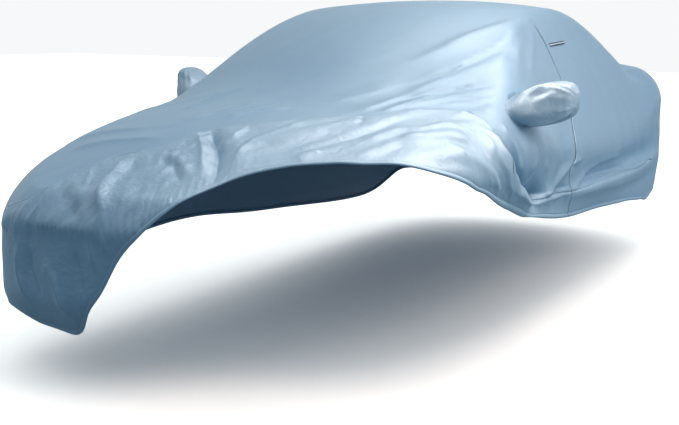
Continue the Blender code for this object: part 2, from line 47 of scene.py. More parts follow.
plan = dict(halfWidth=0.84, front=-0.90, back=3.31, frontCorner=0.35, backCorner=0.55,
            frontBow=0.075, backBow=0.125, endTaper=0.04)
spine = dict(turnX=-0.30, frontY=-0.02, straightY=0.40)
lowLine = np.array([  # y, height of the front, waist and tail on the centre line
    (-0.90, 0.655), (-0.35, 0.860), (0.35, 0.973), (1.20, 0.924),
    (2.20, 0.907), (2.95, 1.074), (3.31, 0.931)])
lowCamber = dict(fall=0.075, halfWidth=0.8, power=2.5)
frontSlope = dict(footY=0.08, footZ=0.916, headY=0.75, headZ=1.295, bow=0.22)
crown = dict(y=1.58, z=1.378, halfLength=0.6, fallAlong=0.034, halfWidth=0.55, fallAcross=0.039)
rearSlope = dict(footY=2.66, footZ=0.965, headY=2.025, headZ=1.279, bow=-0.10)
slopeHalfWidth = 0.7
sideSlope = dict(waistX=0.789, waistZ=0.884, railX=0.595, railZ=1.272)
softness = dict(front=0.16, rear=0.12, side=0.08, waist=0.10)
shoulder = dict(side=0.155, end=0.085, frontEdge=0.75, edgeFrom=-0.45, edgeReach=0.25)
wall = dict(bulge=0.005, bulgeDepth=0.25, tuck=0.030, tuckDepth=0.30, tuckReach=0.35,
            endTuck=0.060, endDepth=0.22, endReach=0.16)


def softMin(a, b, reach):
    share = np.clip(0.5 + 0.5 * (b - a) / reach, 0.0, 1.0)
    return b * (1.0 - share) + a * share - reach * share * (1.0 - share)


def ease(value):
    value = np.clip(value, 0.0, 1.0)
    return value * value * (3.0 - 2.0 * value)


def smoothCurve(xs, values, at):
    # a smooth curve through the values at the stations xs
    slopes = np.gradient(values, xs)
    at = np.clip(at, xs[0], xs[-1])
    i = np.clip(np.searchsorted(xs, at) - 1, 0, len(xs) - 2)
    step = xs[i + 1] - xs[i]
    u = (at - xs[i]) / step
    start = (2 * u**3 - 3 * u**2 + 1) * values[i] + (u**3 - 2 * u**2 + u) * step * slopes[i]
    return start + (3 * u**2 - 2 * u**3) * values[i + 1] + (u**3 - u**2) * step * slopes[i + 1]


def slopeHeight(slope, y, out):
    rise = (slope["headZ"] - slope["footZ"]) / (slope["headY"] - slope["footY"])
    return slope["footZ"] + rise * (y - slope["footY"] - slope["bow"] * (out / slopeHalfWidth) ** 2)


def topHeight(x, y):
    out = np.abs(x)
    low = smoothCurve(lowLine[:, 0], lowLine[:, 1], y)
    low = low - lowCamber["fall"] * (out / lowCamber["halfWidth"]) ** lowCamber["power"]
    high = (crown["z"] - crown["fallAlong"] * ((y - crown["y"]) / crown["halfLength"]) ** 2
            - crown["fallAcross"] * (out / crown["halfWidth"]) ** 2)
    steep = (sideSlope["railZ"] - sideSlope["waistZ"]) / (sideSlope["railX"] - sideSlope["waistX"])
    side = sideSlope["waistZ"] + steep * (out - sideSlope["waistX"])
    high = softMin(slopeHeight(frontSlope, y, out), high, softness["front"])
    high = softMin(high, slopeHeight(rearSlope, y, out), softness["rear"])
    high = softMin(high, side, softness["side"])
    return -softMin(-low, -high, softness["waist"])


def makeOutline():
    w, front, back = plan["halfWidth"], plan["front"], plan["back"]
    fore, aft = plan["frontCorner"], plan["backCorner"]
    turn = np.linspace(0.0, math.pi / 2.0, 100)[1:]
    x = np.concatenate([np.linspace(0.0, w - fore, 20), w - fore + fore * np.sin(turn),
                        np.full(60, w), w - aft + aft * np.cos(turn),
                        np.linspace(w - aft, 0.0, 21)[1:]])
    y = np.concatenate([np.full(20, front), front + fore - fore * np.cos(turn),
                        np.linspace(front + fore, back - aft, 61)[1:],
                        back - aft + aft * np.sin(turn), np.full(20, back)])
    middle, half = (front + back) / 2.0, (back - front) / 2.0
    toFront = np.clip((middle - y) / half, 0.0, 1.0)
    toBack = np.clip((y - middle) / half, 0.0, 1.0)
    bow = plan["frontBow"] * toFront**3 - plan["backBow"] * toBack**3
    bowedY = y + (x / w) ** 2 * bow
    bowedX = x * (1.0 - plan["endTaper"] * (toFront**2 + toBack**2))
    points = np.stack([np.concatenate([bowedX, -bowedX[-2::-1]]),
                       np.concatenate([bowedY, bowedY[-2::-1]])], axis=1)
    return points, np.concatenate([[0.0], np.cumsum(np.hypot(*np.diff(points, axis=0).T))])


outline, outlineRun = makeOutline()


def onOutline(run, down):
    # the pattern point so far round the outline, and so far down the wall there
    def at(distance):
        distance = distance % outlineRun[-1]
        return np.array([np.interp(distance, outlineRun, outline[:, k]) for k in (0, 1)])

    step = 0.02
    along = at(run + step) - at(run - step)
    return at(run) + np.array([along[1], -along[0]]) / np.hypot(*along) * down


def nearestOnOutline(pattern):
    start, edge = outline[:-1], outline[1:] - outline[:-1]
    toPoint = pattern[:, None, :] - start[None]
    share = np.clip((toPoint * edge[None]).sum(axis=2) / (edge**2).sum(axis=1)[None], 0.0, 1.0)
    gap = toPoint - share[..., None] * edge[None]
    best = (gap**2).sum(axis=2).argmin(axis=1)
    off = gap[np.arange(len(pattern)), best]
    facing = np.stack([edge[best][:, 1], -edge[best][:, 0]], axis=1)
    facing /= np.hypot(facing[:, 0], facing[:, 1])[:, None]
    distance = np.hypot(off[:, 0], off[:, 1]) * np.sign((off * facing).sum(axis=1))
    far = np.abs(distance) > 1e-4
    out = np.where(far[:, None], off / np.where(far, distance, 1.0)[:, None], facing)
    return pattern - off, out, distance


def formPlace(pattern):
    # where the form lies, for points of the flat pattern: the plan with its walls folded out
    size = 3000                       # points at a time, to spare memory
    chunks = [nearestOnOutline(pattern[i:i + size]) for i in range(0, len(pattern), size)]
    near, out, distance = [np.concatenate(parts) for parts in zip(*chunks)]
    end = np.abs(out[:, 1]) ** 3
    radius = shoulder["side"] + (shoulder["end"] - shoulder["side"]) * end
    front = ease((shoulder["edgeFrom"] - pattern[:, 1]) / shoulder["edgeReach"])
    power = 2.0 - shoulder["frontEdge"] * end * front
    turned = 1.0 - np.clip(-distance / radius, 0.0, 1.0)
    fall = radius * (1.0 - np.maximum(1.0 - turned**power, 0.0) ** (1.0 / power))
    down = np.maximum(distance, 0.0)
    proud = (wall["bulge"] * ease(down / wall["bulgeDepth"])
             - wall["tuck"] * ease((down - wall["tuckDepth"]) / wall["tuckReach"])
             - wall["endTuck"] * end * ease((down - wall["endDepth"]) / wall["endReach"]))
    top = np.where((distance > 0.0)[:, None], near, pattern)
    flat = top + out * np.where(distance > 0.0, proud, 0.0)[:, None]
    return np.column_stack([flat, topHeight(top[:, 0], top[:, 1]) - fall - down])


def metres(table):
    return [metres(row) if isinstance(row, (list, tuple)) else row / 1000.0 for row in table]


# folds, in millimetres: lift off the form, half widths at the left and the right of the line, its points
mainFolds = [  # the folds of the frame's own cloth: soft on both sides
    (14, 50, 55, [(785, 120), (835, 160), (895, 255), (975, 380), (1015, 520)]),
    (-28, 35, 70, [(850, 270), (905, 370), (955, 480), (965, 610)]),
    (-12, 45, 50, [(972, 660), (930, 770), (865, 900), (840, 990)]),
    (-22, 35, 60, [(950, 1010), (915, 1200), (890, 1480), (895, 1850), (930, 2300), (1000, 2640)]),
    (13, 35, 45, [(1000, 640), (988, 1010), (970, 1360), (960, 1840), (995, 2330), (1075, 2660)]),
    (-10, 35, 35, [(1175, 2731), (1053, 2266), (1022, 1855)]),
    (10, 24, 36, [(-240, -595), (-223, -700), (-192, -813), (-105, -885)]),
    (-16, 30, 30, [(-92, -336), (64, -508), (163, -674)]),
    (4, 26, 34, [(-30, -300), (120, -470), (210, -600)]),
    (-10, 35, 50, [(251, -502), (328, -385), (431, -236), (502, -7)]),
    (10, 45, 50, [(200, -430), (270, -330), (370, -190), (440, -30)]),
    (10, 50, 50, [(600, -230), (670, -100), (720, 60)]),
    (10, 35, 50, [(570, 980), (540, 830), (470, 690), (400, 550)]),
    (-10, 35, 60, [(620, 800), (557, 595), (476, 446), (380, 294), (332, 150)]),
    (9, 35, 60, [(650, 700), (580, 540), (490, 400), (395, 260)]),
    (-8, 35, 50, [(678, 510), (560, 418), (453, 291), (364, 138)])]
creases = [  # crisp folds: a flank of a few millimetres is a drop
    # on the pushed-up skirt, from the front face to the side pocket
    (9, 18, 10, [(-249, -583), (-225, -680), (-195, -808), (-110, -885)]),
    (-6, 14, 14, [(-423, -759), (-319, -830), (-245, -867), (-193, -888)]),
    (5, 12, 20, [(-385, -740), (-300, -800), (-220, -850)]),
    (5, 14, 14, [(-417, -800), (-424, -838), (-411, -870)]),
    (5, 12, 16, [(-358, -653), (-313, -736), (-288, -776)]),
    (-7, 12, 14, [(-114, -581), (-49, -605), (57, -702)]),
    (6, 30, 12, [(-130, -560), (-60, -570), (60, -660)]),
    (-10, 14, 10, [(-80, -346), (41, -478), (169, -681)]),
    (6, 12, 12, [(-120, -370), (-20, -480), (80, -620)]),
    (5, 30, 30, [(-175, -785), (-149, -712), (-94, -633)]),
    (6, 12, 35, [(38, -281), (53, -368), (42, -423), (59, -491)]),
    (10, 50, 11, [(215, -174), (198, -265), (161, -350), (138, -408), (142, -498), (166, -567)]),
    (10, 12, 50, [(513, 100), (490, -13), (463, -153), (427, -248), (385, -326), (340, -396),
        (296, -456), (272, -510)]),
    (6, 12, 35, [(613, -67), (554, -141), (530, -217), (501, -280)]),
    (6, 12, 35, [(613, -226), (586, -316), (561, -382), (532, -420)]),
    (-5, 14, 14, [(374, -41), (405, -109), (410, -164)]),
    (5, 12, 30, [(411, -401), (382, -447), (366, -495)]),
    (9, 40, 9, [(563, -122), (616, -80), (657, 24), (711, 95)]),
    (9, 40, 9, [(606, -211), (669, -141), (722, -45), (758, 19), (794, 42)]),
    (6, 20, 20, [(721, -119), (758, -82), (782, -60)]),
    (7, 35, 12, [(690, -310), (735, -225), (768, -140), (795, -40), (850, 100), (915, 180)]),
    # round the deep fold below the side pocket
    (10, 45, 9, [(900, 220), (940, 300), (992, 410), (1010, 572), (1003, 763), (987, 954)]),
    (10, 14, 45, [(740, 236), (775, 200), (811, 180), (838, 206), (880, 258), (930, 335), (993, 530)]),
    (-58, 34, 22, [(832, 262), (878, 318), (930, 405), (975, 540), (975, 640)]),
    (10, 40, 10, [(815, 300), (862, 390), (925, 480), (985, 610)]),
    (12, 45, 10, [(990, 600), (975, 700), (945, 800), (870, 990), (840, 1180)]),
    (-12, 20, 40, [(985, 720), (968, 820), (955, 940)]),
    (-6, 16, 16, [(826, 376), (833, 410)]),
    (6, 20, 20, [(828, 579), (852, 518), (900, 500)]),
    (5, 22, 22, [(810, 738), (830, 686), (900, 640)]),
    (6, 20, 35, [(815, 850), (880, 780), (960, 690)]),
    # drawn from the side pocket and the crown's edge over the front slope
    (10, 45, 11, [(370, 330), (459, 443), (501, 499), (537, 566), (571, 643), (596, 714), (609, 782),
        (596, 896), (582, 999)]),
    (7, 40, 12, [(330, 470), (405, 561), (441, 632), (474, 714), (512, 787), (554, 853), (571, 953)]),
    (8, 32, 10, [(420, 220), (506, 341), (570, 417), (628, 476), (690, 530)]),
    (7, 28, 9, [(440, 120), (540, 268), (598, 353), (662, 425), (705, 470)]),
    (5, 20, 9, [(560, 235), (600, 280), (640, 330), (683, 380), (712, 420)]),
    (5, 30, 14, [(440, 340), (509, 421), (558, 487), (623, 565), (660, 640)]),
    (6, 16, 16, [(603, 982), (640, 829), (678, 713)]),
    (5, 14, 20, [(612, 1090), (660, 948), (705, 811)]),
    (5, 20, 20, [(574, 1200), (579, 1085), (595, 891), (623, 746)]),
    (5, 10, 20, [(626, 176), (700, 290), (722, 390)]),
    (5, 16, 16, [(770, 150), (798, 127), (815, 80)]),
    (6, 12, 16, [(772, 310), (818, 341), (835, 360)]),
    # on the front of the top panel
    (7, 50, 16, [(325, 10), (389, 194), (438, 309), (487, 384)]),
    (6, 35, 12, [(405, 50), (444, 152), (515, 322)]),
    (5, 50, 30, [(168, 73), (257, 174), (339, 293)]),
    (6, 60, 20, [(-141, -194), (-63, -88), (74, -13)]),
    (6, 60, 22, [(-279, -266), (-222, -133), (-144, -25), (-60, 60)]),
    (6, 50, 20, [(-402, -103), (-387, 7), (-384, 151), (-343, 199)]),
    (5, 60, 20, [(-690, -400), (-605, -352), (-361, -329)]),
    (5, 60, 20, [(-700, 0), (-539, 106), (-366, 170)]),
    (5, 60, 20, [(-620, -500), (-469, -448), (-228, -422)]),
    # the edge of the front face, and its slack
    (9, 40, 12, [(-700, -760), (-610, -823), (-423, -880), (-251, -893), (-60, -900)]),
    (11, 16, 30, [(-395, -985), (-330, -1065), (-300, -1190)]),
    (-10, 30, 24, [(-246, -960), (-210, -1120)]),
    (-12, 34, 24, [(-463, -940), (-470, -1028), (-420, -1140)]),
    (9, 12, 24, [(-530, -930), (-540, -1020), (-500, -1120)]),
    (9, 10, 20, [(-165, -915), (-150, -1020)]),
    (7, 10, 16, [(-105, -905), (-100, -960)]),
    # on the right side and the tail
    (10, 12, 50, [(-985, 560), (-930, 860), (-893, 1300), (-880, 1700)]),
    (11, 60, 14, [(-940, 300), (-985, 700), (-975, 1353), (-969, 1769), (-975, 2258), (-1060, 2626)]),
    (-10, 30, 22, [(-960, 900), (-945, 1330), (-938, 1750), (-950, 2150)]),
    (7, 45, 12, [(-800, 720), (-860, 900), (-930, 1120), (-990, 1400)]),
    (6, 45, 12, [(-660, 1500), (-760, 1800), (-850, 2150), (-950, 2450)]),
    (8, 50, 14, [(-620, 3200), (-400, 3390), (-100, 3480), (300, 3490)]),
    (7, 14, 45, [(660, 3180), (450, 3370), (120, 3440)]),
    (6, 60, 20, [(-600, 2620), (-330, 2850), (50, 2930), (420, 2880)]),
    (8, 14, 50, [(-640, 2060), (-520, 2340), (-420, 2640)]),
    (7, 50, 14, [(560, 2100), (460, 2350), (330, 2640)]),
    (6, 50, 14, [(-300, 2150), (-180, 2420), (-20, 2640)]),
    # behind the zip, over the low edge
    (14, 50, 10, [(978, 1010), (917, 1248), (883, 1501), (875, 1910)]),
    (-16, 22, 26, [(965, 1060), (945, 1230), (935, 1450), (935, 1800), (950, 2100)]),
    (12, 14, 60, [(985, 998), (967, 1353), (961, 1769), (965, 2258), (1078, 2726)]),
    (8, 40, 12, [(1005, 1030), (1000, 1355), (1012, 1929), (1060, 2500)])]
leaningFolds = [  # lean, reach, line
    (-22, 17, [(800, 190), (838, 204), (882, 254), (933, 330), (985, 460)]),
    (10, 16, [(870, 50), (930, 130), (985, 240), (1025, 360), (1035, 560), (1025, 760)]),
    (12, 14, [(370, 330), (459, 443), (501, 499), (537, 566), (571, 643), (596, 714)]),
    (10, 14, [(420, 220), (506, 341), (570, 417), (628, 476)]),
    (10, 12, [(563, -122), (616, -80), (657, 24), (711, 95)]),
    (10, 12, [(606, -211), (669, -141), (722, -45), (758, 19)]),
    (-6, 18, [(490, -13), (463, -153), (427, -248), (385, -326), (340, -396)]),
    (10, 14, [(-245, -600), (-225, -680), (-195, -808)])]
mainFolds, creases, leaningFolds = metres(mainFolds), metres(creases), metres(leaningFolds)
creaseLook = dict(lift=1.5, sharp=1.4)
foldFade = dict(start=0.20, end=0.25, least=0.20)      # shares of a fold's length, and of its lift


def toLine(pattern, points):
    # distance to the line, share of the way along it, fade towards its ends, its direction, left of it
    points = np.array(points)
    start, edge = points[:-1], np.diff(points, axis=0)
    lengths = np.hypot(edge[:, 0], edge[:, 1])
    soFar = np.concatenate([[0.0], np.cumsum(lengths)])
    toPoint = pattern[:, None, :] - start[None]
    share = np.clip((toPoint * edge[None]).sum(axis=2) / lengths[None] ** 2, 0.0, 1.0)
    gap = toPoint - share[..., None] * edge[None]
    away = np.hypot(gap[..., 0], gap[..., 1])
    best = away.argmin(axis=1)
    pick = np.arange(len(pattern))
    run = (soFar[best] + share[pick, best] * lengths[best]) / soFar[-1]
    fade = ease(run / foldFade["start"]) * ease((1.0 - run) / foldFade["end"])
    fade = foldFade["least"] + (1.0 - foldFade["least"]) * fade
    left = edge[best, 0] * gap[pick, best, 1] - edge[best, 1] * gap[pick, best, 0] > 0.0
    return away[pick, best], run, fade, edge[best] / lengths[best, None], left


def lineLift(pattern, fold, fadeByLength):
    # the lift of one fold, from the distance to its line and the side of it
    lift, first, second, points = fold
    away, run, fade, _, left = toLine(pattern, points)
    if fadeByLength:                                    # a main fold widens along its line
        return lift * fade * np.exp(-((away / (first + (second - first) * run)) ** 2))
    across = away / np.where(left, first, second)
    sharp = creaseLook["sharp"]
    return lift * creaseLook["lift"] * fade * np.exp(sharp * (0.3 - np.sqrt(across**2 + 0.09)))


def nearLine(pattern, points, reach):
    corners = np.array(points)
    low, high = corners.min(axis=0) - reach, corners.max(axis=0) + reach
    return np.all((pattern > low) & (pattern < high), axis=1)


def leanShift(pattern):
    # a fold that leans over the cloth at the right of its line
    shift = np.zeros_like(pattern)
    for lean, reach, points in leaningFolds:
        near = nearLine(pattern, points, 3.0 * reach)
        if near.any():
            away, _, fade, along, _ = toLine(pattern[near], points)
            shift[near] += (np.column_stack([along[:, 1], -along[:, 0]])
                            * (lean * fade * np.exp(-((away / reach) ** 2)))[:, None])
    return shift


def foldLift(pattern, creaseShare):
    lift = np.zeros(len(pattern))
    for folds, fadeByLength in ((creases, False), (mainFolds, True)):
        if fadeByLength:
            lift *= creaseShare
        for fold in folds:
            near = nearLine(pattern, fold[3], 4.0 * max(fold[1], fold[2]))
            lift[near] += lineLift(pattern[near], fold, fadeByLength)
    return lift


def place(pattern, lift=0.0, creaseShare=1.0):
    # where a pattern point of the cloth lies from the frame's origin, lifted off its folded form
    pattern = np.atleast_2d(np.asarray(pattern, float))
    step = 0.010
    leant = pattern + leanShift(pattern)
    form = formPlace(leant)
    alongX = formPlace(leant + [step, 0.0]) - formPlace(leant - [step, 0.0])
    alongY = formPlace(leant + [0.0, step]) - formPlace(leant - [0.0, step])
    normal = np.cross(alongX, alongY)
    normal /= np.linalg.norm(normal, axis=1)[:, None]
    return form + normal * (foldLift(pattern, creaseShare) + lift)[:, None] - origin


def placeGrid(pattern, lift, creaseShare=1.0):
    share = creaseShare.ravel() if isinstance(creaseShare, np.ndarray) else creaseShare
    return place(pattern.reshape(-1, 2), lift.ravel(), share).reshape(*pattern.shape[:2], 3)


# the cut of the cloth, in millimetres: its seam and hem, from the zip round the back to the zip

frontEdges = [  # seam x, seam y, hem x, hem y, spine y
    (-620, -795, -744, -1100, -20), (-482, -818, -568, -1215, -20), (-430, -763, -408, -1255, -20),
    (-399, -698, -316, -1270, -20), (-371, -630, -235, -1190, -20), (-331, -580, -145, -1105, -20),
    (-248, -532, -60, -975, -20), (-181, -480, 30, -893, -20), (-140, -395, 105, -835, -20),
    (-95, -325, 160, -735, -20), (15, -262, 231, -625, 0), (100, -206, 341, -539, 40),
    (194, -155, 465, -474, 90), (288, -88, 575, -424, 200), (395, -10, 675, -374, 300),
    (465, 89, 760, -296, 420), (553, 180, 812, -165, 560), (640, 222, 832, -50, 700),
    (717, 231, 868, 35, 820), (775, 214, 908, 105, 900), (822, 215, 952, 195, 960),
    (870, 301, 992, 290, 1000), (954, 394, 1030, 395, 1040), (996, 593, 1065, 560, 1090),
    (982, 780, 1087, 765, 1140)]
leftEdges = [
    (972, 1200, 1095, 1200, 1300), (957, 1480, 1097, 1480, 1480), (951, 1820, 1112, 1820, 1680),
    (968, 2120, 1140, 2120, 1860), (996, 2400, 1215, 2420, 2040)]
roundEdges = [  # distance round the outline, seam down, hem down, spine y
    (4100, 225, 470, 2200), (4420, 250, 520, 2400), (4720, 260, 530, 2500), (5150, 260, 535, 2500),
    (5600, 260, 535, 2500), (6020, 260, 530, 2500), (6320, 250, 520, 2400), (6640, 215, 490, 2200),
    (7050, 170, 450, 1900), (7550, 135, 415, 1550), (8020, 125, 400, 1240), (8320, 125, 395, 1020),
    (8575, 120, 390, 840), (8810, 112, 389, 650), (9070, 92, 383, 440), (9380, 57, 369, 200),
    (9680, 10, 335, 20), (9930, -30, 300, -20)]
frontEdges, leftEdges, roundEdges = metres(frontEdges), metres(leftEdges), metres(roundEdges)
zipRow = (0.981, 0.985, 1.094, 0.973, 1.20)      # in metres from here on
zipLine = np.array([  # x, y from the crown's edge to the seam
    (0.600, 1.138), (0.640, 1.180), (0.716, 1.200), (0.777, 1.160), (0.852, 1.040),
    (0.895, 0.990), (0.940, 0.980), (0.981, 0.985)])
zipCut = dict(topX=0.600, bendReach=0.45, slit=0.0030)


def edgeTable(spacing):
    # seam, hem and spine of each column of cloth, at the steps that spacing(x, y) gives
    samples = 4000
    rows = [zipRow] + leftEdges
    rows += [(*onOutline(run, seam), *onOutline(run, hem), back) for run, seam, hem, back in roundEdges]
    table = np.array(rows + frontEdges + [zipRow])
    stations = np.arange(float(len(table)))
    at = np.linspace(0.0, len(table) - 1.0, samples)
    fine = np.column_stack([smoothCurve(stations, table[:, k], at) for k in range(5)])
    steps = np.hypot(*np.diff((fine[:, :2] + fine[:, 2:4]) / 2.0, axis=0).T)
    wanted = np.concatenate([[0.0], np.cumsum(steps / spacing(fine[1:, 0], fine[1:, 1]))])
    even = np.interp(np.linspace(0.0, wanted[-1], int(wanted[-1]) + 1), wanted, np.arange(len(wanted)))
    return np.column_stack([np.interp(even, np.arange(len(at)), fine[:, k]) for k in range(5)])


def beside(line, offset):
    along = np.gradient(line, axis=0)
    along /= np.hypot(along[:, 0], along[:, 1])[:, None]
    return line + np.column_stack([-along[:, 1], along[:, 0]]) * offset


def bendToZip(pattern):
    x = np.clip(pattern[:, 0], 0.0, None)
    straight = zipRow[4] + (zipRow[1] - zipRow[4]) * x / zipRow[0]
    wanted = np.interp(x, zipLine[:, 0], zipLine[:, 1])
    inside = ease((x - 0.5 * zipCut["topX"]) / (0.5 * zipCut["topX"]))
    near = np.exp(-(((pattern[:, 1] - straight) / zipCut["bendReach"]) ** 2))
    bent = pattern.copy()
    bent[:, 1] += np.where(x < zipRow[0], (wanted - straight) * inside * near, 0.0)
    return bent


def cutRows(lines, fromStart, fromEnd, count, closer=1.0):
    # cut each pattern line at distances from its start, in between, and from its end
    rows, distances = [], []
    for line in lines:
        space = formPlace(line)
        run = np.concatenate([[0.0], np.cumsum(np.linalg.norm(np.diff(space, axis=0), axis=1))])
        first, last = fromStart[-1], run[-1] - fromEnd[0]
        even = last - (last - first) * (1.0 - np.linspace(0.0, 1.0, count + 2)[1:-1]) ** closer
        wanted = np.concatenate([fromStart, even, run[-1] - np.array(fromEnd)])
        rows.append(np.column_stack([np.interp(wanted, run, line[:, k]) for k in (0, 1)]))
        distances.append(np.column_stack([wanted, run[-1] - wanted]))
    return np.array(rows), np.array(distances)


def runAlong(pattern):
    steps = np.hypot(*np.diff(pattern, axis=0).T)
    return np.concatenate([[0.0], np.cumsum(steps)])


# sheets of cloth

clothThick = 0.0012


def noiseAt(a, b, seed):
    values = [noise.noise((u, v, seed)) for u, v in zip(np.ravel(a), np.ravel(b))]
    return np.array(values).reshape(np.shape(a))


def crispNoise(a, b, seed):
    # long ridges with crisp tops, from -0.5 to 0.5
    ridge = 1.0 - np.sqrt(noiseAt(a, b, seed) ** 2 + 0.0016) * 2.4
    finer = 1.0 - np.sqrt(noiseAt(a * 2.1 + 3.0, b * 2.1, seed + 7) ** 2 + 0.0025) * 2.4
    return (ridge + 0.30 * finer) / 1.30 - 0.5


def clothSheet(points, pattern, seamPlace, crumple, dropped=None):
    # a grid of cloth: its places in space, on the pattern, and along and from the seam
    columns, rows = points.shape[:2]
    bm = bmesh.new()
    bmesh.ops.create_grid(bm, x_segments=columns - 1, y_segments=rows - 1, size=0.5)
    clothMap = bm.loops.layers.uv.new("cloth")
    seamMap = bm.loops.layers.uv.new("seam")
    crumpled = bm.verts.layers.float.new("crumple")
    spots = {}
    for vert in bm.verts:
        c = round((vert.co.x + 0.5) * (columns - 1))
        r = round((vert.co.y + 0.5) * (rows - 1))
        vert.co = points[c, r]
        vert[crumpled] = crumple[c, r]
        spots[vert] = (c, r)
    holes = []
    for face in bm.faces:
        corners = [spots[vert] for vert in face.verts]
        if dropped is not None and dropped[min(c for c, r in corners), min(r for c, r in corners)]:
            holes.append(face)
        for loop in face.loops:
            c, r = spots[loop.vert]
            loop[clothMap].uv = pattern[c, r]
            loop[seamMap].uv = seamPlace[c, r]
    bmesh.ops.delete(bm, geom=holes, context="FACES")
    return bm


def towardsOutside(bm):
    facing = sum(face.normal.dot(face.calc_center_median() - Vector((0.0, 0.0, -0.6))) for face in bm.faces)
    if facing < 0.0:
        bmesh.ops.reverse_faces(bm, faces=bm.faces)


def clothObject(bm, name, thick=clothThick):
    bm.normal_update()
    mesh = bpy.data.meshes.new(name)
    bm.to_mesh(mesh)
    bm.free()
    mesh.shade_smooth()
    piece = bpy.data.objects.new(name, mesh)
    bpy.context.scene.collection.objects.link(piece)
    if thick:
        solidify = piece.modifiers.new("cloth", "SOLIDIFY")
        solidify.thickness = thick
        solidify.offset = -1.0
    return piece


seamLook = dict(rows=(0.0, 0.0025, 0.006, 0.011, 0.018), dip=0.0018, dipReach=0.0030,
                ridge=0.0012, ridgeAt=0.009, ridgeReach=0.005, pucker=0.0026, puckerReach=0.030,
                puckerStart=0.006, pitches=(26.0, 55.0), gap=0.0008)


def seamLift(away, run):
    # the stitched edge turns down into the seam, and puckers beside it
    dip = -seamLook["dip"] * np.exp(-((away / seamLook["dipReach"]) ** 2))
    ridge = seamLook["ridge"] * np.exp(-(((away - seamLook["ridgeAt"]) / seamLook["ridgeReach"]) ** 2))
    wide, narrow = seamLook["pitches"]
    pucker = noiseAt(run * wide, run * 0.0, 11) + 0.6 * noiseAt(run * narrow, run * 0.0, 12)
    reach = np.exp(-away / seamLook["puckerReach"]) * (1.0 - np.exp(-away / seamLook["puckerStart"]))
    return dip + ridge + seamLook["pucker"] * pucker * reach


sewnShare = 0.25      # of the folds' lift, where cloth is sewn to the zip or turned at the hem
zipReach = 0.07


def fromSewn(share):
    return sewnShare + (1.0 - sewnShare) * ease(share)


def calmAtZip(run):
    return fromSewn(np.minimum(run, run.max() - run) / zipReach)


pocketRim = dict(x=0.762, y=0.545, halfWidth=0.029, halfLength=0.132, squareness=2.4, calm=0.04)


def rimRadius(angle):
    power = pocketRim["squareness"]
    across = np.abs(np.cos(angle) / pocketRim["halfWidth"]) ** power
    along = np.abs(np.sin(angle) / pocketRim["halfLength"]) ** power
    return (across + along) ** (-1.0 / power)


def openForPocket(pattern, side):
    # the squares of the grid inside the pocket's rim; the corners next to them move onto the rim
    centre = np.array((pocketRim["x"] * side, pocketRim["y"]))
    middles = (pattern[:-1, :-1] + pattern[1:, :-1] + pattern[1:, 1:] + pattern[:-1, 1:]) / 4.0 - centre
    radius = rimRadius(np.arctan2(middles[..., 1], middles[..., 0]))
    inside = np.hypot(middles[..., 0], middles[..., 1]) < radius
    touching, kept = np.zeros(pattern.shape[:2], int), np.zeros(pattern.shape[:2], int)
    for c, r in ((0, 0), (1, 0), (1, 1), (0, 1)):
        touching[c:c + inside.shape[0], r:r + inside.shape[1]] += inside
        kept[c:c + inside.shape[0], r:r + inside.shape[1]] += ~inside
    off = pattern - centre
    angle = np.arctan2(off[..., 1], off[..., 0])
    onRim = centre + np.stack([np.cos(angle), np.sin(angle)], axis=-1) * rimRadius(angle)[..., None]
    pattern[:] = np.where(((touching > 0) & (kept > 0))[..., None], onRim, pattern)
    return inside


def awayFromPockets(pattern):
    # 0 at a pocket's rim, and 1 at a little way off it
    off = np.stack([np.abs(pattern[..., 0]) - pocketRim["x"], pattern[..., 1] - pocketRim["y"]], axis=-1)
    distance = np.hypot(off[..., 0], off[..., 1]) - rimRadius(np.arctan2(off[..., 1], off[..., 0]))
    return ease(distance / pocketRim["calm"])


topLook = dict(rows=82, closer=1.30, foldStep=0.008, fineStep=0.020, coarseStep=0.034, fineFrom=-0.62,
               foldX=0.80, foldY=(0.08, 0.66), spineShare=0.015, points=70, broad=0.0030, soft=0.0022)


def topStep(x, y):
    # close columns where the deep fold lies, and wide ones on the right side
    step = np.where(x > topLook["fineFrom"], topLook["fineStep"], topLook["coarseStep"])
    low, high = topLook["foldY"]
    return np.where((x > topLook["foldX"]) & (y > low) & (y < high), topLook["foldStep"], step)


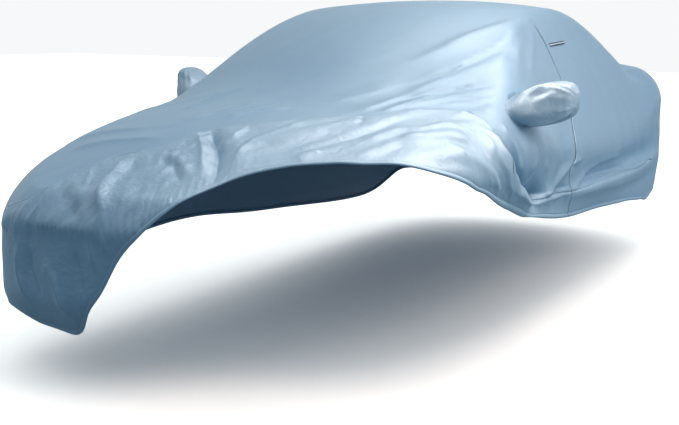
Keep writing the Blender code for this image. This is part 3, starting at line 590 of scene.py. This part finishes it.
def buildTop():
    table = edgeTable(topStep)
    seam = beside(table[:, :2], seamLook["gap"] / 2.0)
    lines = []
    for corner, back in zip(seam, table[:, 4]):
        turn = ease((spine["straightY"] - back) / (spine["straightY"] - spine["frontY"]))
        middle = np.array([spine["turnX"] * turn, back])
        shares = np.linspace(topLook["spineShare"], 1.0, topLook["points"])
        lines.append(bendToZip(middle + (corner - middle) * shares[:, None]))
    pattern, distances = cutRows(lines, (0.0,), seamLook["rows"][::-1], topLook["rows"], topLook["closer"])
    slitRow = int(np.argmax(pattern[0, :, 0] > zipCut["topX"]))
    for column, way in ((0, 1.0), (-1, -1.0)):
        pattern[column, slitRow:] = beside(pattern[column], way * zipCut["slit"])[slitRow:]
    dropped = openForPocket(pattern, 1.0) | openForPocket(pattern, -1.0)
    away = distances[..., 1]
    run = np.repeat(runAlong(seam)[:, None], pattern.shape[1], axis=1)
    x, y = pattern[..., 0], pattern[..., 1]
    broad = noiseAt(x * 3.1 + 5.0, y * 2.2, 21) * topLook["broad"]
    soft = crispNoise((x - y * 0.7) * 5.5, (y + x * 0.7) * 1.9, 31) * topLook["soft"]
    calm = awayFromPockets(pattern)
    lift = seamLift(away, run) + (broad + soft) * calm
    creaseShare = calmAtZip(run)
    points = placeGrid(pattern, lift, creaseShare)
    seamPlace = np.stack([run, away], axis=-1)
    crumple = 0.15 + 0.5 * np.exp(-away / 0.08)
    bm = clothSheet(points, pattern, seamPlace, crumple, dropped)
    weldZipTop(bm, points, slitRow)
    along = points[:, 0]

    def onMiddle(vert):
        nearest = along[np.abs(along - np.array(vert.co)).sum(axis=1).argmin()]
        return (vert.co - Vector(nearest)).length < 1e-6

    middle = [edge for edge in bm.edges if edge.is_boundary and all(map(onMiddle, edge.verts))]
    bmesh.ops.triangle_fill(bm, edges=middle, use_beauty=True)
    towardsOutside(bm)
    return clothObject(bm, "topPanel")


def weldZipTop(bm, points, slitRow, reach=0.0004):
    # above the zip the first and the last columns are one line of cloth
    ends = {tuple(np.round(points[c, r], 6)) for c in (0, -1) for r in range(slitRow)}
    twins = [vert for vert in bm.verts if tuple(np.round(np.array(vert.co), 6)) in ends]
    bmesh.ops.remove_doubles(bm, verts=twins, dist=reach)


skirtLook = dict(rows=25, fineStep=0.0056, coarseStep=0.015, foldLift=0.0075, crumpleLift=0.0052,
                 gather=0.0050, gatherPitch=0.021, gatherReach=0.060, sideFold=0.0040, puff=0.008,
                 faceTuck=0.014, lap=0.006, lapDrop=0.0026, lapReach=0.004, points=60,
                 hemFlat=0.010, hemReach=0.035, pullSteps=15, pullFrom=0.015, pullReach=0.015,
                 slack=0.010, wander=0.024, gatherRise=0.016, zipCalm=0.02)
hemLook = [  # distance from the stitch line, lift: the turned and stitched hem, which curls in
    (-0.006, 0.0000), (-0.002, -0.0010), (0.0, -0.0016), (0.002, -0.0006), (0.006, 0.0018), (0.011, 0.0026),
    (0.015, 0.0018), (0.018, -0.0008), (0.0185, -0.0036), (0.016, -0.0062), (0.011, -0.0072),
    (0.004, -0.0062)]
hemDepth = 0.0185


def skirtStep(x, y):
    return np.where((y < 0.9) & (x > -0.72), skirtLook["fineStep"], skirtLook["coarseStep"])


def buildSkirt():
    table = edgeTable(skirtStep)
    seam = beside(table[:, :2], skirtLook["lap"])
    shares = np.linspace(0.0, 1.0, skirtLook["points"])[:, None]
    lines = [a + (b - a) * shares for a, b in zip(seam, table[:, 2:4])]
    hem = np.array(hemLook)
    fromHem = hemDepth - hem[:, 0]
    fromSeam = skirtLook["lap"] + np.array((-skirtLook["lap"], 0.0) + seamLook["rows"][1:])
    pattern, distances = cutRows(lines, fromSeam, fromHem, skirtLook["rows"])
    pattern[0] = beside(pattern[0], zipCut["slit"])
    pattern[-1] = beside(pattern[-1], -zipCut["slit"])
    away, toHem = np.maximum(distances[..., 0] - skirtLook["lap"], 0.0), distances[..., 1]
    run = np.repeat(runAlong(table[:, :2])[:, None], pattern.shape[1], axis=1)
    lift = seamLift(away, run) + skirtWrinkles(pattern, run, away, toHem)
    # the lap goes under the top panel's edge
    lift -= skirtLook["lapDrop"] * (1.0 - ease(away / skirtLook["lapReach"]))
    lift[:, -len(hem):] += hem[:, 1]
    creaseShare = fromSewn((toHem - skirtLook["hemFlat"]) / skirtLook["hemReach"]) * calmAtZip(run)
    points = placeGrid(pattern, lift, creaseShare)
    smoothed = [smoothAlong(row, skirtLook["pullSteps"]) for row in points.transpose(1, 0, 2)]
    nearHem = np.exp(-np.maximum(toHem - skirtLook["pullFrom"], 0.0) / skirtLook["pullReach"])
    pull = np.stack(smoothed, axis=1) - points
    points += pull * nearHem[..., None]
    seamPlace = np.stack([run, -away], axis=-1)
    smooth = ease((pattern[..., 0] + 0.05) / 0.25)
    crumple = 0.30 + 0.70 * pushedUp(pattern) * (1.0 - 0.75 * smooth)
    bm = clothSheet(points, pattern, seamPlace, crumple)
    towardsOutside(bm)
    return clothObject(bm, "skirt")


def smoothAlong(line, steps):
    # the elastic in the hem takes the short way round a corner
    weights = np.exp(-np.linspace(-2.2, 2.2, 2 * steps + 1) ** 2)
    ends = [2.0 * line[0] - line[steps:0:-1], line, 2.0 * line[-1] - line[-2:-steps - 2:-1]]
    padded = np.concatenate(ends)
    weights = weights / weights.sum()
    return np.column_stack([np.convolve(padded[:, k], weights, mode="valid") for k in range(3)])


def pushedUp(pattern):
    # 1 where the skirt lies pushed up at the front
    return ease((0.75 - pattern[..., 1]) / 0.35) * ease((pattern[..., 0] + 0.68) / 0.15)


def skirtWrinkles(pattern, run, away, toHem):
    x, y = pattern[..., 0], pattern[..., 1]
    front = pushedUp(pattern)
    onTop = front * ease((y + 0.96) / 0.10)                   # above the front face's edge
    zipCalm = 1.0 - np.exp(-np.minimum(run, run.max() - run) / skirtLook["zipCalm"])
    slant = ease((x + 0.05) / 0.30)                           # folds run down at the right, along at the left
    upright = 0.8 * crispNoise(run * 6.0 + away * 4.5, away * 5.0 - run * 1.5, 41)
    across = away * 0.85 + run * 0.52
    along = run * 0.85 - away * 0.52
    slanted = crispNoise(across * 11.0, along * 2.2, 43)
    folds = (upright * (1.0 - slant) + slanted * slant) * skirtLook["foldLift"] * onTop
    calmLeft = 1.0 - 0.85 * ease((x + 0.06) / 0.2)
    crumples = crispNoise(run * 17.0, away * 17.0, 47) * skirtLook["crumpleLift"] * onTop * calmLeft
    wander = noiseAt(run * 9.0, away * 7.0, 51) * skirtLook["wander"]
    strength = np.clip(0.5 + 1.4 * noiseAt(run * 4.5, run * 0.0, 53), 0.0, 1.3)
    gathered = ease((x + 0.55) / 0.1) * (1.0 - ease((x - 0.10) / 0.15)) + 0.25
    gathers = (np.sin(2.0 * math.pi * (run + wander) / skirtLook["gatherPitch"]) * strength * gathered
               * np.exp(-toHem / skirtLook["gatherReach"])
               * (1.0 - np.exp(-((toHem / skirtLook["gatherRise"]) ** 2)))
               * skirtLook["gather"] * onTop)
    slack = noiseAt(run * 4.0 + 3.0, away * 1.6, 57) * skirtLook["slack"] * front * (1.0 - onTop)
    sides = noiseAt(away * 9.0, run * 1.2, 59) * skirtLook["sideFold"] * (1.0 - front)
    puff = skirtLook["puff"] * (1.0 - np.exp(-away / 0.008)) * np.exp(-away / 0.16) * onTop
    under = skirtLook["faceTuck"] * np.exp(-toHem / 0.05) * ease((-0.80 - y) / 0.15)
    return (folds + crumples + gathers + slack + sides) * zipCalm * ease(away / 0.03 + 0.15) + puff - under


# side pockets

pocketLook = dict(z=0.960, tipX=0.955, around=120, along=56, squareness=2.8, lift=1.35, slack=0.005,
                  rootGrow=1.05, rootDepth=0.003)
pocketSections = np.array([  # share of the way out, of the mouth's shape, back, half depth, up, down
    (0.00, 1.00, 0.000, 0.112, 0.040, 0.050), (0.08, 0.80, 0.004, 0.110, 0.052, 0.078),
    (0.20, 0.40, 0.012, 0.106, 0.062, 0.088), (0.40, 0.10, 0.036, 0.100, 0.074, 0.088),
    (0.62, 0.00, 0.066, 0.092, 0.082, 0.080), (0.82, 0.00, 0.092, 0.080, 0.083, 0.062),
    (0.94, 0.00, 0.108, 0.062, 0.070, 0.046), (1.00, 0.00, 0.118, 0.034, 0.042, 0.026)])
pocketCreases = [  # lift, half widths to both sides in degrees, its line: share of the way out, angle
    (0.006, 5.0, 14.0, [(0.00, 196.0), (0.15, 178.0), (0.35, 152.0), (0.55, 128.0)]),
    (0.005, 4.0, 12.0, [(0.00, 212.0), (0.20, 200.0), (0.45, 176.0), (0.70, 158.0)]),
    (0.004, 4.0, 10.0, [(0.02, 170.0), (0.14, 150.0), (0.32, 128.0)]),
    (0.004, 4.0, 9.0, [(0.35, 116.0), (0.65, 122.0), (0.95, 138.0)]),
    (0.003, 4.0, 9.0, [(0.45, 132.0), (0.72, 140.0), (0.97, 155.0)]),
    (0.003, 4.0, 8.0, [(0.50, 172.0), (0.75, 168.0), (0.96, 172.0)]),
    (0.011, 12.0, 4.0, [(0.04, 226.0), (0.30, 232.0), (0.60, 233.0), (0.90, 226.0)]),
    (-0.024, 7.0, 12.0, [(0.06, 244.0), (0.30, 249.0), (0.60, 249.0), (0.86, 240.0)])]


def pocketWrinkles(share, angle):
    # the lift of the creases at a share of the way out, all round
    angle = np.degrees(angle) % 360.0
    lift = np.zeros(len(angle))
    for height, before, after, line in pocketCreases:
        shares, angles = np.array(line).T
        off = (angle - np.interp(share, shares, angles) + 180.0) % 360.0 - 180.0
        ends = ease((share - shares[0] + 0.08) / 0.12) * ease((shares[-1] + 0.08 - share) / 0.12)
        lift += height * ends * np.exp(-np.abs(off / np.where(off < 0.0, before, after)) ** 1.4)
    return lift


def buildPocket(name, side):
    look = pocketLook
    count = look["around"]
    turn = np.linspace(0.0, 2.0 * math.pi, count + 1)
    centre = np.array((pocketRim["x"] * side, pocketRim["y"]))
    ring = centre + np.column_stack([np.cos(turn) * side, np.sin(turn)]) * rimRadius(turn)[:, None]
    rim = place(ring) + origin
    under = place(centre + (ring - centre) * look["rootGrow"], -look["rootDepth"]) + origin
    middle = rim[:-1].mean(axis=0)
    angle = np.arctan2(rim[:, 2] - middle[2], rim[:, 1] - middle[1])
    power = 2.0 / look["squareness"]
    tipShares = 0.9 + 0.1 * np.sin(np.linspace(0.15, 1.0, 8) * math.pi / 2.0)
    shares = np.concatenate([np.linspace(0.0, 0.9, look["along"] - len(tipShares)), tipShares])
    sections = [under]
    for share in shares:
        mouthShare, back, depth, above, below = [
            smoothCurve(pocketSections[:, 0], pocketSections[:, k], share) for k in range(1, 6)]
        height = np.where(np.sin(angle) > 0.0, above, below)
        slack = noiseAt(np.cos(angle) * 2.2 + 9.0 * side, np.sin(angle) * 2.2 + share * 1.5, 61)
        wrinkle = (look["slack"] * slack + look["lift"] * pocketWrinkles(share, angle)) * ease(share / 0.10)
        across = np.sign(np.cos(angle)) * np.abs(np.cos(angle)) ** power * (depth + wrinkle)
        up = np.sign(np.sin(angle)) * np.abs(np.sin(angle)) ** power * (height + wrinkle)
        x = rim[:, 0] + (side * look["tipX"] - rim[:, 0]) * share
        section = np.column_stack([x, pocketRim["y"] + back + across, look["z"] + up])
        section[:, 1:] += (rim[:, 1:] - section[:, 1:]) * mouthShare
        sections.append(section)
    sections = np.array(sections).transpose(1, 0, 2) - origin
    around = np.repeat(turn[:, None], sections.shape[1], axis=1)
    reach = np.repeat(np.concatenate([[0.0], shares])[None], count + 1, axis=0)
    # the cloth's map: radians by 0.1 m round it, and shares by 0.25 m outwards
    pattern = np.stack([around * 0.1, reach * 0.25], axis=-1)
    seamPlace = np.stack([around * 0.1, 0.02 + reach * 0.25], axis=-1)
    bm = clothSheet(sections, pattern, seamPlace, np.full(sections.shape[:2], 0.7))
    bmesh.ops.remove_doubles(bm, verts=bm.verts, dist=1e-6)
    tip = side * look["tipX"]
    tipEdges = [edge for edge in bm.edges if edge.is_boundary and abs(edge.verts[0].co.x - tip) < 1e-4]
    bmesh.ops.contextual_create(bm, geom=tipEdges)
    bmesh.ops.triangulate(bm, faces=[face for face in bm.faces if len(face.verts) > 4])
    bmesh.ops.recalc_face_normals(bm, faces=bm.faces)
    inside = Vector(sections.reshape(-1, 3).mean(axis=0))
    if sum(face.normal.dot(face.calc_center_median() - inside) for face in bm.faces) < 0.0:
        bmesh.ops.reverse_faces(bm, faces=bm.faces)
    return clothObject(bm, name)


# zip and tag

zipLook = [  # across, depth under the cloth's face: a tape on each side, and teeth in the middle
    (-0.0130, 0.0024), (-0.0036, 0.0022), (-0.0026, 0.0014), (-0.0020, 0.0006), (0.0, 0.0002),
    (0.0020, 0.0006), (0.0026, 0.0014), (0.0036, 0.0022), (0.0130, 0.0024)]
zipSteps = 330


def zipMiddle():
    # the zip's line on the pattern, from the crown's edge to the hem
    seam = np.array(zipRow[:2])
    start = np.array([0.0, zipRow[4]])
    upper = bendToZip(start + (seam - start) * np.linspace(0.5, 1.0, 200)[:, None])
    upper = upper[upper[:, 0] > zipCut["topX"]]
    lower = seam + (np.array(zipRow[2:4]) - seam) * np.linspace(0.02, 0.94, 40)[:, None]
    return np.concatenate([upper, lower])


def buildZip():
    middle = zipMiddle()
    run = runAlong(middle)
    even = np.linspace(0.0, run[-1], zipSteps)
    middle = np.column_stack([np.interp(even, run, middle[:, k]) for k in (0, 1)])
    across, depth = np.array(zipLook).T
    pattern = np.stack([beside(middle, way) for way in across])
    teeth = 0.0004 * np.where(np.arange(zipSteps) % 2 == 0, 1.0, -1.0)
    onTeeth = np.where(np.abs(across) < 0.0025, 1.0, 0.0)[:, None]
    lift = -np.repeat(depth[:, None], zipSteps, axis=1) + onTeeth * teeth
    points = placeGrid(pattern, lift, sewnShare)
    seamPlace = np.stack(np.broadcast_arrays(even[None], across[:, None]), axis=-1)
    bm = clothSheet(points, seamPlace, seamPlace, np.zeros(points.shape[:2]))
    towardsOutside(bm)
    return clothObject(bm, "sideZip", 0.0008)


tagLook = dict(start=(0.6440, 1.225), end=(0.6380, 1.460), width=0.016, thick=0.0010, lift=0.0010,
               along=60, across=9, slopeShare=0.45, bow=0.0016)


def buildTag():
    start, end = np.array(tagLook["start"]), np.array(tagLook["end"])
    line = start + (end - start) * np.linspace(0.0, 1.0, tagLook["along"])[:, None]
    ways = np.linspace(-0.5, 0.5, tagLook["across"])
    # a step across the tag is shorter on the pattern than on the steep side
    pattern = np.stack([line + np.array([1.0, 0.0]) * way * tagLook["width"] * tagLook["slopeShare"]
                        for way in ways])
    share = np.linspace(0.0, 1.0, tagLook["along"])
    bow = tagLook["bow"] * np.sin(share * math.pi)
    lift = tagLook["lift"] + tagLook["thick"] + bow[None] * (1.0 - (2.0 * ways[:, None]) ** 2 * 0.5)
    points = placeGrid(pattern, lift)
    length = share * np.linalg.norm(end - start)
    tagMap = np.stack(np.broadcast_arrays(length[None], (ways + 0.5)[:, None]), axis=-1)
    bm = clothSheet(points, tagMap, tagMap, np.zeros(points.shape[:2]))
    towardsOutside(bm)
    return clothObject(bm, "tag", tagLook["thick"])


# finishes

def newGroup(name, inputs, outputs):
    group = bpy.data.node_groups.new(name, "ShaderNodeTree")
    for socketName, kind, value in inputs:
        socket = group.interface.new_socket(socketName, in_out="INPUT", socket_type=kind)
        if value is not None:
            socket.default_value = value
    for socketName, kind in outputs:
        group.interface.new_socket(socketName, in_out="OUTPUT", socket_type=kind)
    return group, group.nodes.new("NodeGroupInput"), group.nodes.new("NodeGroupOutput")


def addNode(tree, kind, **settings):
    node = tree.nodes.new(kind)
    inputs = settings.pop("inputs", {})
    for key, value in settings.items():
        setattr(node, key, value)
    for key, value in inputs.items():
        if isinstance(value, bpy.types.NodeSocket):
            tree.links.new(value, node.inputs[key])
        else:
            node.inputs[key].default_value = value
    return node


def mathNode(tree, operation, *values):
    return addNode(tree, "ShaderNodeMath", operation=operation, inputs=dict(enumerate(values))).outputs[0]


def uvMap(tree, name):
    return addNode(tree, "ShaderNodeUVMap", uv_map=name).outputs["UV"]


def mixColours(tree, share, first, second):
    node = addNode(tree, "ShaderNodeMix", data_type="RGBA", inputs={0: share, 6: first, 7: second})
    return node.outputs[2]


def bumpWith(tree, shader, height):
    bump = addNode(tree, "ShaderNodeBump", inputs={"Height": height, "Distance": 1.0, "Strength": 1.0})
    tree.links.new(bump.outputs["Normal"], shader.inputs["Normal"])


def wrinkleGroup():
    # height of the cloth's small wrinkles, in metres, along its own map
    group, given, result = newGroup("clothWrinkles", [
        ("Map", "NodeSocketVector", None), ("Amount", "NodeSocketFloat", 0.5),
        ("Seed", "NodeSocketFloat", 0.0)],
        [("Height", "NodeSocketFloat")])
    coarse = addNode(group, "ShaderNodeTexNoise", noise_dimensions="4D", inputs={
        "Vector": given.outputs["Map"], "W": given.outputs["Seed"], "Scale": 16.0, "Detail": 3.0,
        "Roughness": 0.55, "Distortion": 0.6})
    fine = addNode(group, "ShaderNodeTexNoise", noise_dimensions="4D", inputs={
        "Vector": given.outputs["Map"], "W": given.outputs["Seed"], "Scale": 55.0, "Detail": 2.0,
        "Roughness": 0.5, "Distortion": 0.3})
    heights = []
    for node, depth in ((coarse, 0.010), (fine, 0.0008)):
        off = mathNode(group, "SUBTRACT", node.outputs["Fac"], 0.5)
        heights.append(mathNode(group, "MULTIPLY", mathNode(group, "ABSOLUTE", off), -depth))
    both = mathNode(group, "ADD", *heights)
    group.links.new(mathNode(group, "MULTIPLY", both, given.outputs["Amount"]), result.inputs["Height"])
    return group


def weaveGroup():
    # a plain weave that repeats every 1.2 mm
    group, given, result = newGroup(
        "plainWeave", [("Map", "NodeSocketVector", None), ("Pitch", "NodeSocketFloat", 0.0012)],
        [("Height", "NodeSocketFloat")])
    parts = addNode(group, "ShaderNodeSeparateXYZ", inputs={0: given.outputs["Map"]})
    waves = []
    for axis in ("X", "Y"):
        turns = mathNode(group, "DIVIDE", parts.outputs[axis], given.outputs["Pitch"])
        waves.append(mathNode(group, "SINE", mathNode(group, "MULTIPLY", turns, 2.0 * math.pi)))
    height = mathNode(group, "MULTIPLY", mathNode(group, "MULTIPLY", *waves), 0.00006)
    group.links.new(height, result.inputs["Height"])
    return group


def stitchGroup():
    # a row of stitches beside the seam: height of the thread, and where it lies
    group, given, result = newGroup("seamStitches", [
        ("Map", "NodeSocketVector", None), ("Away", "NodeSocketFloat", 0.006),
        ("Pitch", "NodeSocketFloat", 0.0045)],
        [("Height", "NodeSocketFloat"), ("Thread", "NodeSocketFloat")])
    parts = addNode(group, "ShaderNodeSeparateXYZ", inputs={0: given.outputs["Map"]})
    off = mathNode(group, "SUBTRACT", mathNode(group, "ABSOLUTE", parts.outputs["Y"]), given.outputs["Away"])
    line = mathNode(group, "LESS_THAN", mathNode(group, "ABSOLUTE", off), 0.0007)
    along = mathNode(group, "FRACT", mathNode(group, "DIVIDE", parts.outputs["X"], given.outputs["Pitch"]))
    thread = mathNode(group, "MULTIPLY", line, mathNode(group, "LESS_THAN", along, 0.7))
    group.links.new(thread, result.inputs["Thread"])
    group.links.new(mathNode(group, "MULTIPLY", thread, 0.0004), result.inputs["Height"])
    return group


wrinkles, weave, stitches = wrinkleGroup(), weaveGroup(), stitchGroup()


def newMaterial(name, roughness, **sockets):
    material = bpy.data.materials.new(name)
    material.use_nodes = True
    shader = material.node_tree.nodes["Principled BSDF"]
    shader.inputs["Roughness"].default_value = roughness
    for key, value in sockets.items():
        shader.inputs[key.replace("_", " ")].default_value = value
    return material, material.node_tree, shader


# the whitish third colour is a painted sheen, mixed in at the front left where the lamps shine on the cloth
clothColour = dict(pale=(0.160, 0.340, 0.510, 1.0), deep=(0.128, 0.295, 0.465, 1.0),
                   paintedSheen=(0.52, 0.68, 0.80, 1.0), thread=(0.12, 0.24, 0.36, 1.0))


def clothMaterial(name, seed, wrinkleAmount, shine=0.5, paintedSheen=0.0):
    # light blue woven cloth with a soft sheen, and a painted whitish sheen mixed into its colour towards the
    # left of the front
    material, tree, shader = newMaterial(name, 0.42, Sheen_Weight=0.50, Sheen_Roughness=0.40, IOR=2.1,
                                         Sheen_Tint=(0.90, 0.96, 1.0, 1.0), Specular_IOR_Level=shine)
    clothMap = uvMap(tree, "cloth")
    seamMap = uvMap(tree, "seam")
    crumple = addNode(tree, "ShaderNodeAttribute", attribute_name="crumple").outputs["Fac"]
    tone = addNode(tree, "ShaderNodeTexNoise", inputs={"Vector": clothMap, "Scale": 2.3, "Detail": 3.0})
    dye = mixColours(tree, tone.outputs["Fac"], clothColour["deep"], clothColour["pale"])
    objectPlace = addNode(tree, "ShaderNodeTexCoord").outputs["Object"]
    spot = addNode(tree, "ShaderNodeSeparateXYZ", inputs={0: objectPlace})
    # painted sheen: the colour turns whiter towards the cover's left (+X) and its front (-Y), where the
    # lamps' sheen falls
    paintedSheenMask = paintedSheen
    for axis, edge, full in (("X", -0.10, 0.25), ("Y", -0.55, -0.95)):
        reach = addNode(tree, "ShaderNodeMapRange", interpolation_type="SMOOTHSTEP", inputs={
            0: spot.outputs[axis], 1: edge, 2: full})
        paintedSheenMask = mathNode(tree, "MULTIPLY", paintedSheenMask, reach.outputs[0])
    dye = mixColours(tree, paintedSheenMask, dye, clothColour["paintedSheen"])
    sewn = addNode(tree, "ShaderNodeGroup", node_tree=stitches, inputs={"Map": seamMap})
    colour = mixColours(tree, sewn.outputs["Thread"], dye, clothColour["thread"])
    tree.links.new(colour, shader.inputs["Base Color"])
    small = addNode(tree, "ShaderNodeGroup", node_tree=wrinkles, inputs={
        "Map": clothMap, "Amount": mathNode(tree, "MULTIPLY", crumple, wrinkleAmount), "Seed": seed})
    woven = addNode(tree, "ShaderNodeGroup", node_tree=weave, inputs={"Map": clothMap})
    cloth = mathNode(tree, "ADD", small.outputs["Height"], woven.outputs["Height"])
    height = mathNode(tree, "ADD", cloth, sewn.outputs["Height"])
    bumpWith(tree, shader, height)
    rough = addNode(tree, "ShaderNodeMapRange", inputs={0: tone.outputs["Fac"], 3: 0.46, 4: 0.56})
    tree.links.new(rough.outputs[0], shader.inputs["Roughness"])
    return material


def zipMaterial():
    # dark blue tape, and coil teeth that shine a little
    material, tree, shader = newMaterial("darkZip", 0.45, Specular_IOR_Level=0.5)
    clothMap = uvMap(tree, "cloth")
    parts = addNode(tree, "ShaderNodeSeparateXYZ", inputs={0: clothMap})
    coil = mathNode(tree, "LESS_THAN", mathNode(tree, "ABSOLUTE", parts.outputs["Y"]), 0.0022)
    turns = mathNode(tree, "SINE", mathNode(tree, "MULTIPLY", parts.outputs["X"], 2.0 * math.pi / 0.0030))
    colour = mixColours(tree, coil, (0.045, 0.085, 0.14, 1.0), (0.070, 0.115, 0.17, 1.0))
    tree.links.new(colour, shader.inputs["Base Color"])
    height = mathNode(tree, "MULTIPLY", mathNode(tree, "MULTIPLY", turns, coil), 0.0004)
    bumpWith(tree, shader, height)
    return material


def tagMaterial():
    # woven stripes: navy, white, navy
    material, tree, shader = newMaterial("wovenStripes", 0.7, Specular_IOR_Level=0.3)
    clothMap = uvMap(tree, "cloth")
    parts = addNode(tree, "ShaderNodeSeparateXYZ", inputs={0: clothMap})
    off = mathNode(tree, "ABSOLUTE", mathNode(tree, "SUBTRACT", parts.outputs["Y"], 0.5))
    white = mathNode(tree, "LESS_THAN", off, 0.17)
    colour = mixColours(tree, white, (0.012, 0.022, 0.070, 1.0), (0.80, 0.84, 0.88, 1.0))
    tree.links.new(colour, shader.inputs["Base Color"])
    ribs = mathNode(tree, "SINE", mathNode(tree, "MULTIPLY", parts.outputs["X"], 2.0 * math.pi / 0.0016))
    bumpWith(tree, shader, mathNode(tree, "MULTIPLY", ribs, 0.0002))
    return material


# the studio

studio = dict(cameraAt=(2.174, -5.058, -0.137), turn=28.82, tilt=9.759, roll=0.89, lens=56.80,
              sensor=36.0, farthest=200.0,
              floorSize=60.0, floorColour=(0.32, 0.36, 0.40, 1.0), floorSeen=(0.62, 0.50, 0.45, 1.0),
              softLight=0.86, softColour=(0.70, 0.90, 1.0, 1.0),
              glossLight=0.95, glossColour=(1.0, 1.0, 1.0, 1.0),
              background=(0.93, 0.94, 0.95, 1.0))
lamps = [  # name, place, aim, size, watts, colour, whether it lights the cloth's own colour too
    ("key", (1.6, -2.1, 2.2), (0.4, -1.2, -0.40), 1.4, 18.0, (1.0, 0.96, 0.92), True),
    ("shine", (0.8, -0.7, 1.6), (0.5, -1.7, -0.45), 2.0, 64.0, (1.0, 0.97, 0.94), False),
    ("sideShine", (1.9, -0.5, 1.1), (0.8, -1.2, -0.45), 1.4, 42.0, (1.0, 0.97, 0.94), False),
    ("left", (4.2, 1.6, 0.7), (0.9, 1.0, -0.60), 2.4, 34.0, (0.80, 0.93, 1.0), True),
    ("overhead", (-0.2, 1.2, 4.2), (0.0, 0.2, 0.0), 4.0, 4.0, (1.0, 0.97, 0.94), True)]


def buildCamera():
    turn, tilt, roll = [math.radians(studio[key]) for key in ("turn", "tilt", "roll")]
    forward = Vector((-math.sin(turn) * math.cos(tilt), math.cos(turn) * math.cos(tilt), -math.sin(tilt)))
    right = Vector((math.cos(turn), math.sin(turn), 0.0))
    up = right.cross(forward)
    right, up = (right * math.cos(roll) + up * math.sin(roll),
                 up * math.cos(roll) - right * math.sin(roll))
    camera = bpy.data.objects.new("camera", bpy.data.cameras.new("camera"))
    camera.data.lens = studio["lens"]
    camera.data.sensor_width = studio["sensor"]
    camera.data.clip_end = studio["farthest"]
    turned = Matrix((right, up, -forward)).transposed().to_4x4()
    camera.matrix_world = Matrix.Translation(studio["cameraAt"]) @ turned
    bpy.context.scene.collection.objects.link(camera)
    bpy.context.scene.camera = camera


def buildStudio():
    for name, at, aim, size, watts, colour, diffuse in lamps:
        light = bpy.data.lights.new(name, "AREA")
        light.size = size
        light.energy = watts
        light.color = colour
        lamp = bpy.data.objects.new(name, light)
        lamp.location = at
        lamp.visible_diffuse = diffuse
        lamp.rotation_euler = (Vector(aim) - Vector(at)).to_track_quat("-Z", "Y").to_euler()
        bpy.context.scene.collection.objects.link(lamp)
    bm = bmesh.new()
    bmesh.ops.create_grid(bm, x_segments=2, y_segments=2, size=studio["floorSize"] / 2.0)
    bmesh.ops.translate(bm, verts=bm.verts, vec=(0.0, 0.0, -origin[2]))
    floor = clothObject(bm, "floor", None)
    material, tree, shader = newMaterial("paleFloor", 0.8, Specular_IOR_Level=0.1)
    doubled = addNode(tree, "ShaderNodeAddShader", inputs={0: shader.outputs[0], 1: shader.outputs[0]})
    fourfold = addNode(tree, "ShaderNodeAddShader", inputs={0: doubled.outputs[0], 1: doubled.outputs[0]})
    seen = addNode(tree, "ShaderNodeLightPath").outputs["Is Camera Ray"]
    colour = mixColours(tree, seen, studio["floorColour"], studio["floorSeen"])
    tree.links.new(colour, shader.inputs["Base Color"])
    brighter = addNode(tree, "ShaderNodeMixShader", inputs={
        0: seen, 1: shader.outputs[0], 2: fourfold.outputs[0]})
    tree.links.new(brighter.outputs[0], tree.nodes["Material Output"].inputs["Surface"])
    floor.data.materials.append(material)
    world = bpy.data.worlds.new("studio")
    world.use_nodes = True
    tree = world.node_tree
    path = addNode(tree, "ShaderNodeLightPath")
    soft = tree.nodes["Background"]
    tint = mixColours(tree, path.outputs["Is Glossy Ray"], studio["softColour"], studio["glossColour"])
    tree.links.new(tint, soft.inputs["Color"])
    strength = addNode(tree, "ShaderNodeMapRange", inputs={
        0: path.outputs["Is Glossy Ray"], 3: studio["softLight"], 4: studio["glossLight"]})
    sky = addNode(tree, "ShaderNodeTexCoord").outputs["Generated"]
    direction = addNode(tree, "ShaderNodeSeparateXYZ", inputs={0: sky})
    fromFront = mathNode(tree, "MULTIPLY_ADD", direction.outputs["Y"], 0.45, 0.5)
    fromAbove = mathNode(tree, "MULTIPLY_ADD", direction.outputs["Z"], 0.60, fromFront)
    shade = addNode(tree, "ShaderNodeClamp", inputs={0: fromAbove, 1: 0.03, 2: 1.0})
    tree.links.new(mathNode(tree, "MULTIPLY", strength.outputs[0], shade.outputs[0]), soft.inputs["Strength"])
    plain = addNode(tree, "ShaderNodeBackground", inputs={"Color": studio["background"]})
    both = addNode(tree, "ShaderNodeMixShader", inputs={
        0: path.outputs["Is Camera Ray"], 1: soft.outputs[0], 2: plain.outputs[0]})
    tree.links.new(both.outputs[0], tree.nodes["World Output"].inputs["Surface"])
    bpy.context.scene.world = world
    bpy.context.scene.view_settings.view_transform = "Standard"


# all of it

buildCamera()
buildStudio()
print("studio ready")

# the last number is how much painted whitish sheen each cloth gets at the front left
topCloth = clothMaterial("topCloth", 1.0, 0.5, 0.5, 0.07)
skirtCloth = clothMaterial("skirtCloth", 2.0, 1.0, 0.66, 0.20)
pocketCloth = clothMaterial("pocketCloth", 3.0, 0.8, 0.85, 0.28)

topPanel = buildTop()
print("top panel", len(topPanel.data.polygons), "faces")
skirt = buildSkirt()
print("skirt", len(skirt.data.polygons), "faces")
pocketLeft = buildPocket("sidePocketLeft", 1.0)
pocketRight = buildPocket("sidePocketRight", -1.0)
sideZip = buildZip()
tag = buildTag()
print("pockets, zip and tag ready")

for piece, node, slot, material in (
        (topPanel, "top_panel", "cloth", topCloth), (skirt, "skirt", "cloth", skirtCloth),
        (pocketLeft, "side_pocket_left", "cloth", pocketCloth),
        (pocketRight, "side_pocket_right", "cloth", pocketCloth),
        (sideZip, "side_zip", "zip_tape", zipMaterial()), (tag, "tag", "woven_tag", tagMaterial())):
    piece.data.materials.append(material)
    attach(piece, "root")
    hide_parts(node)
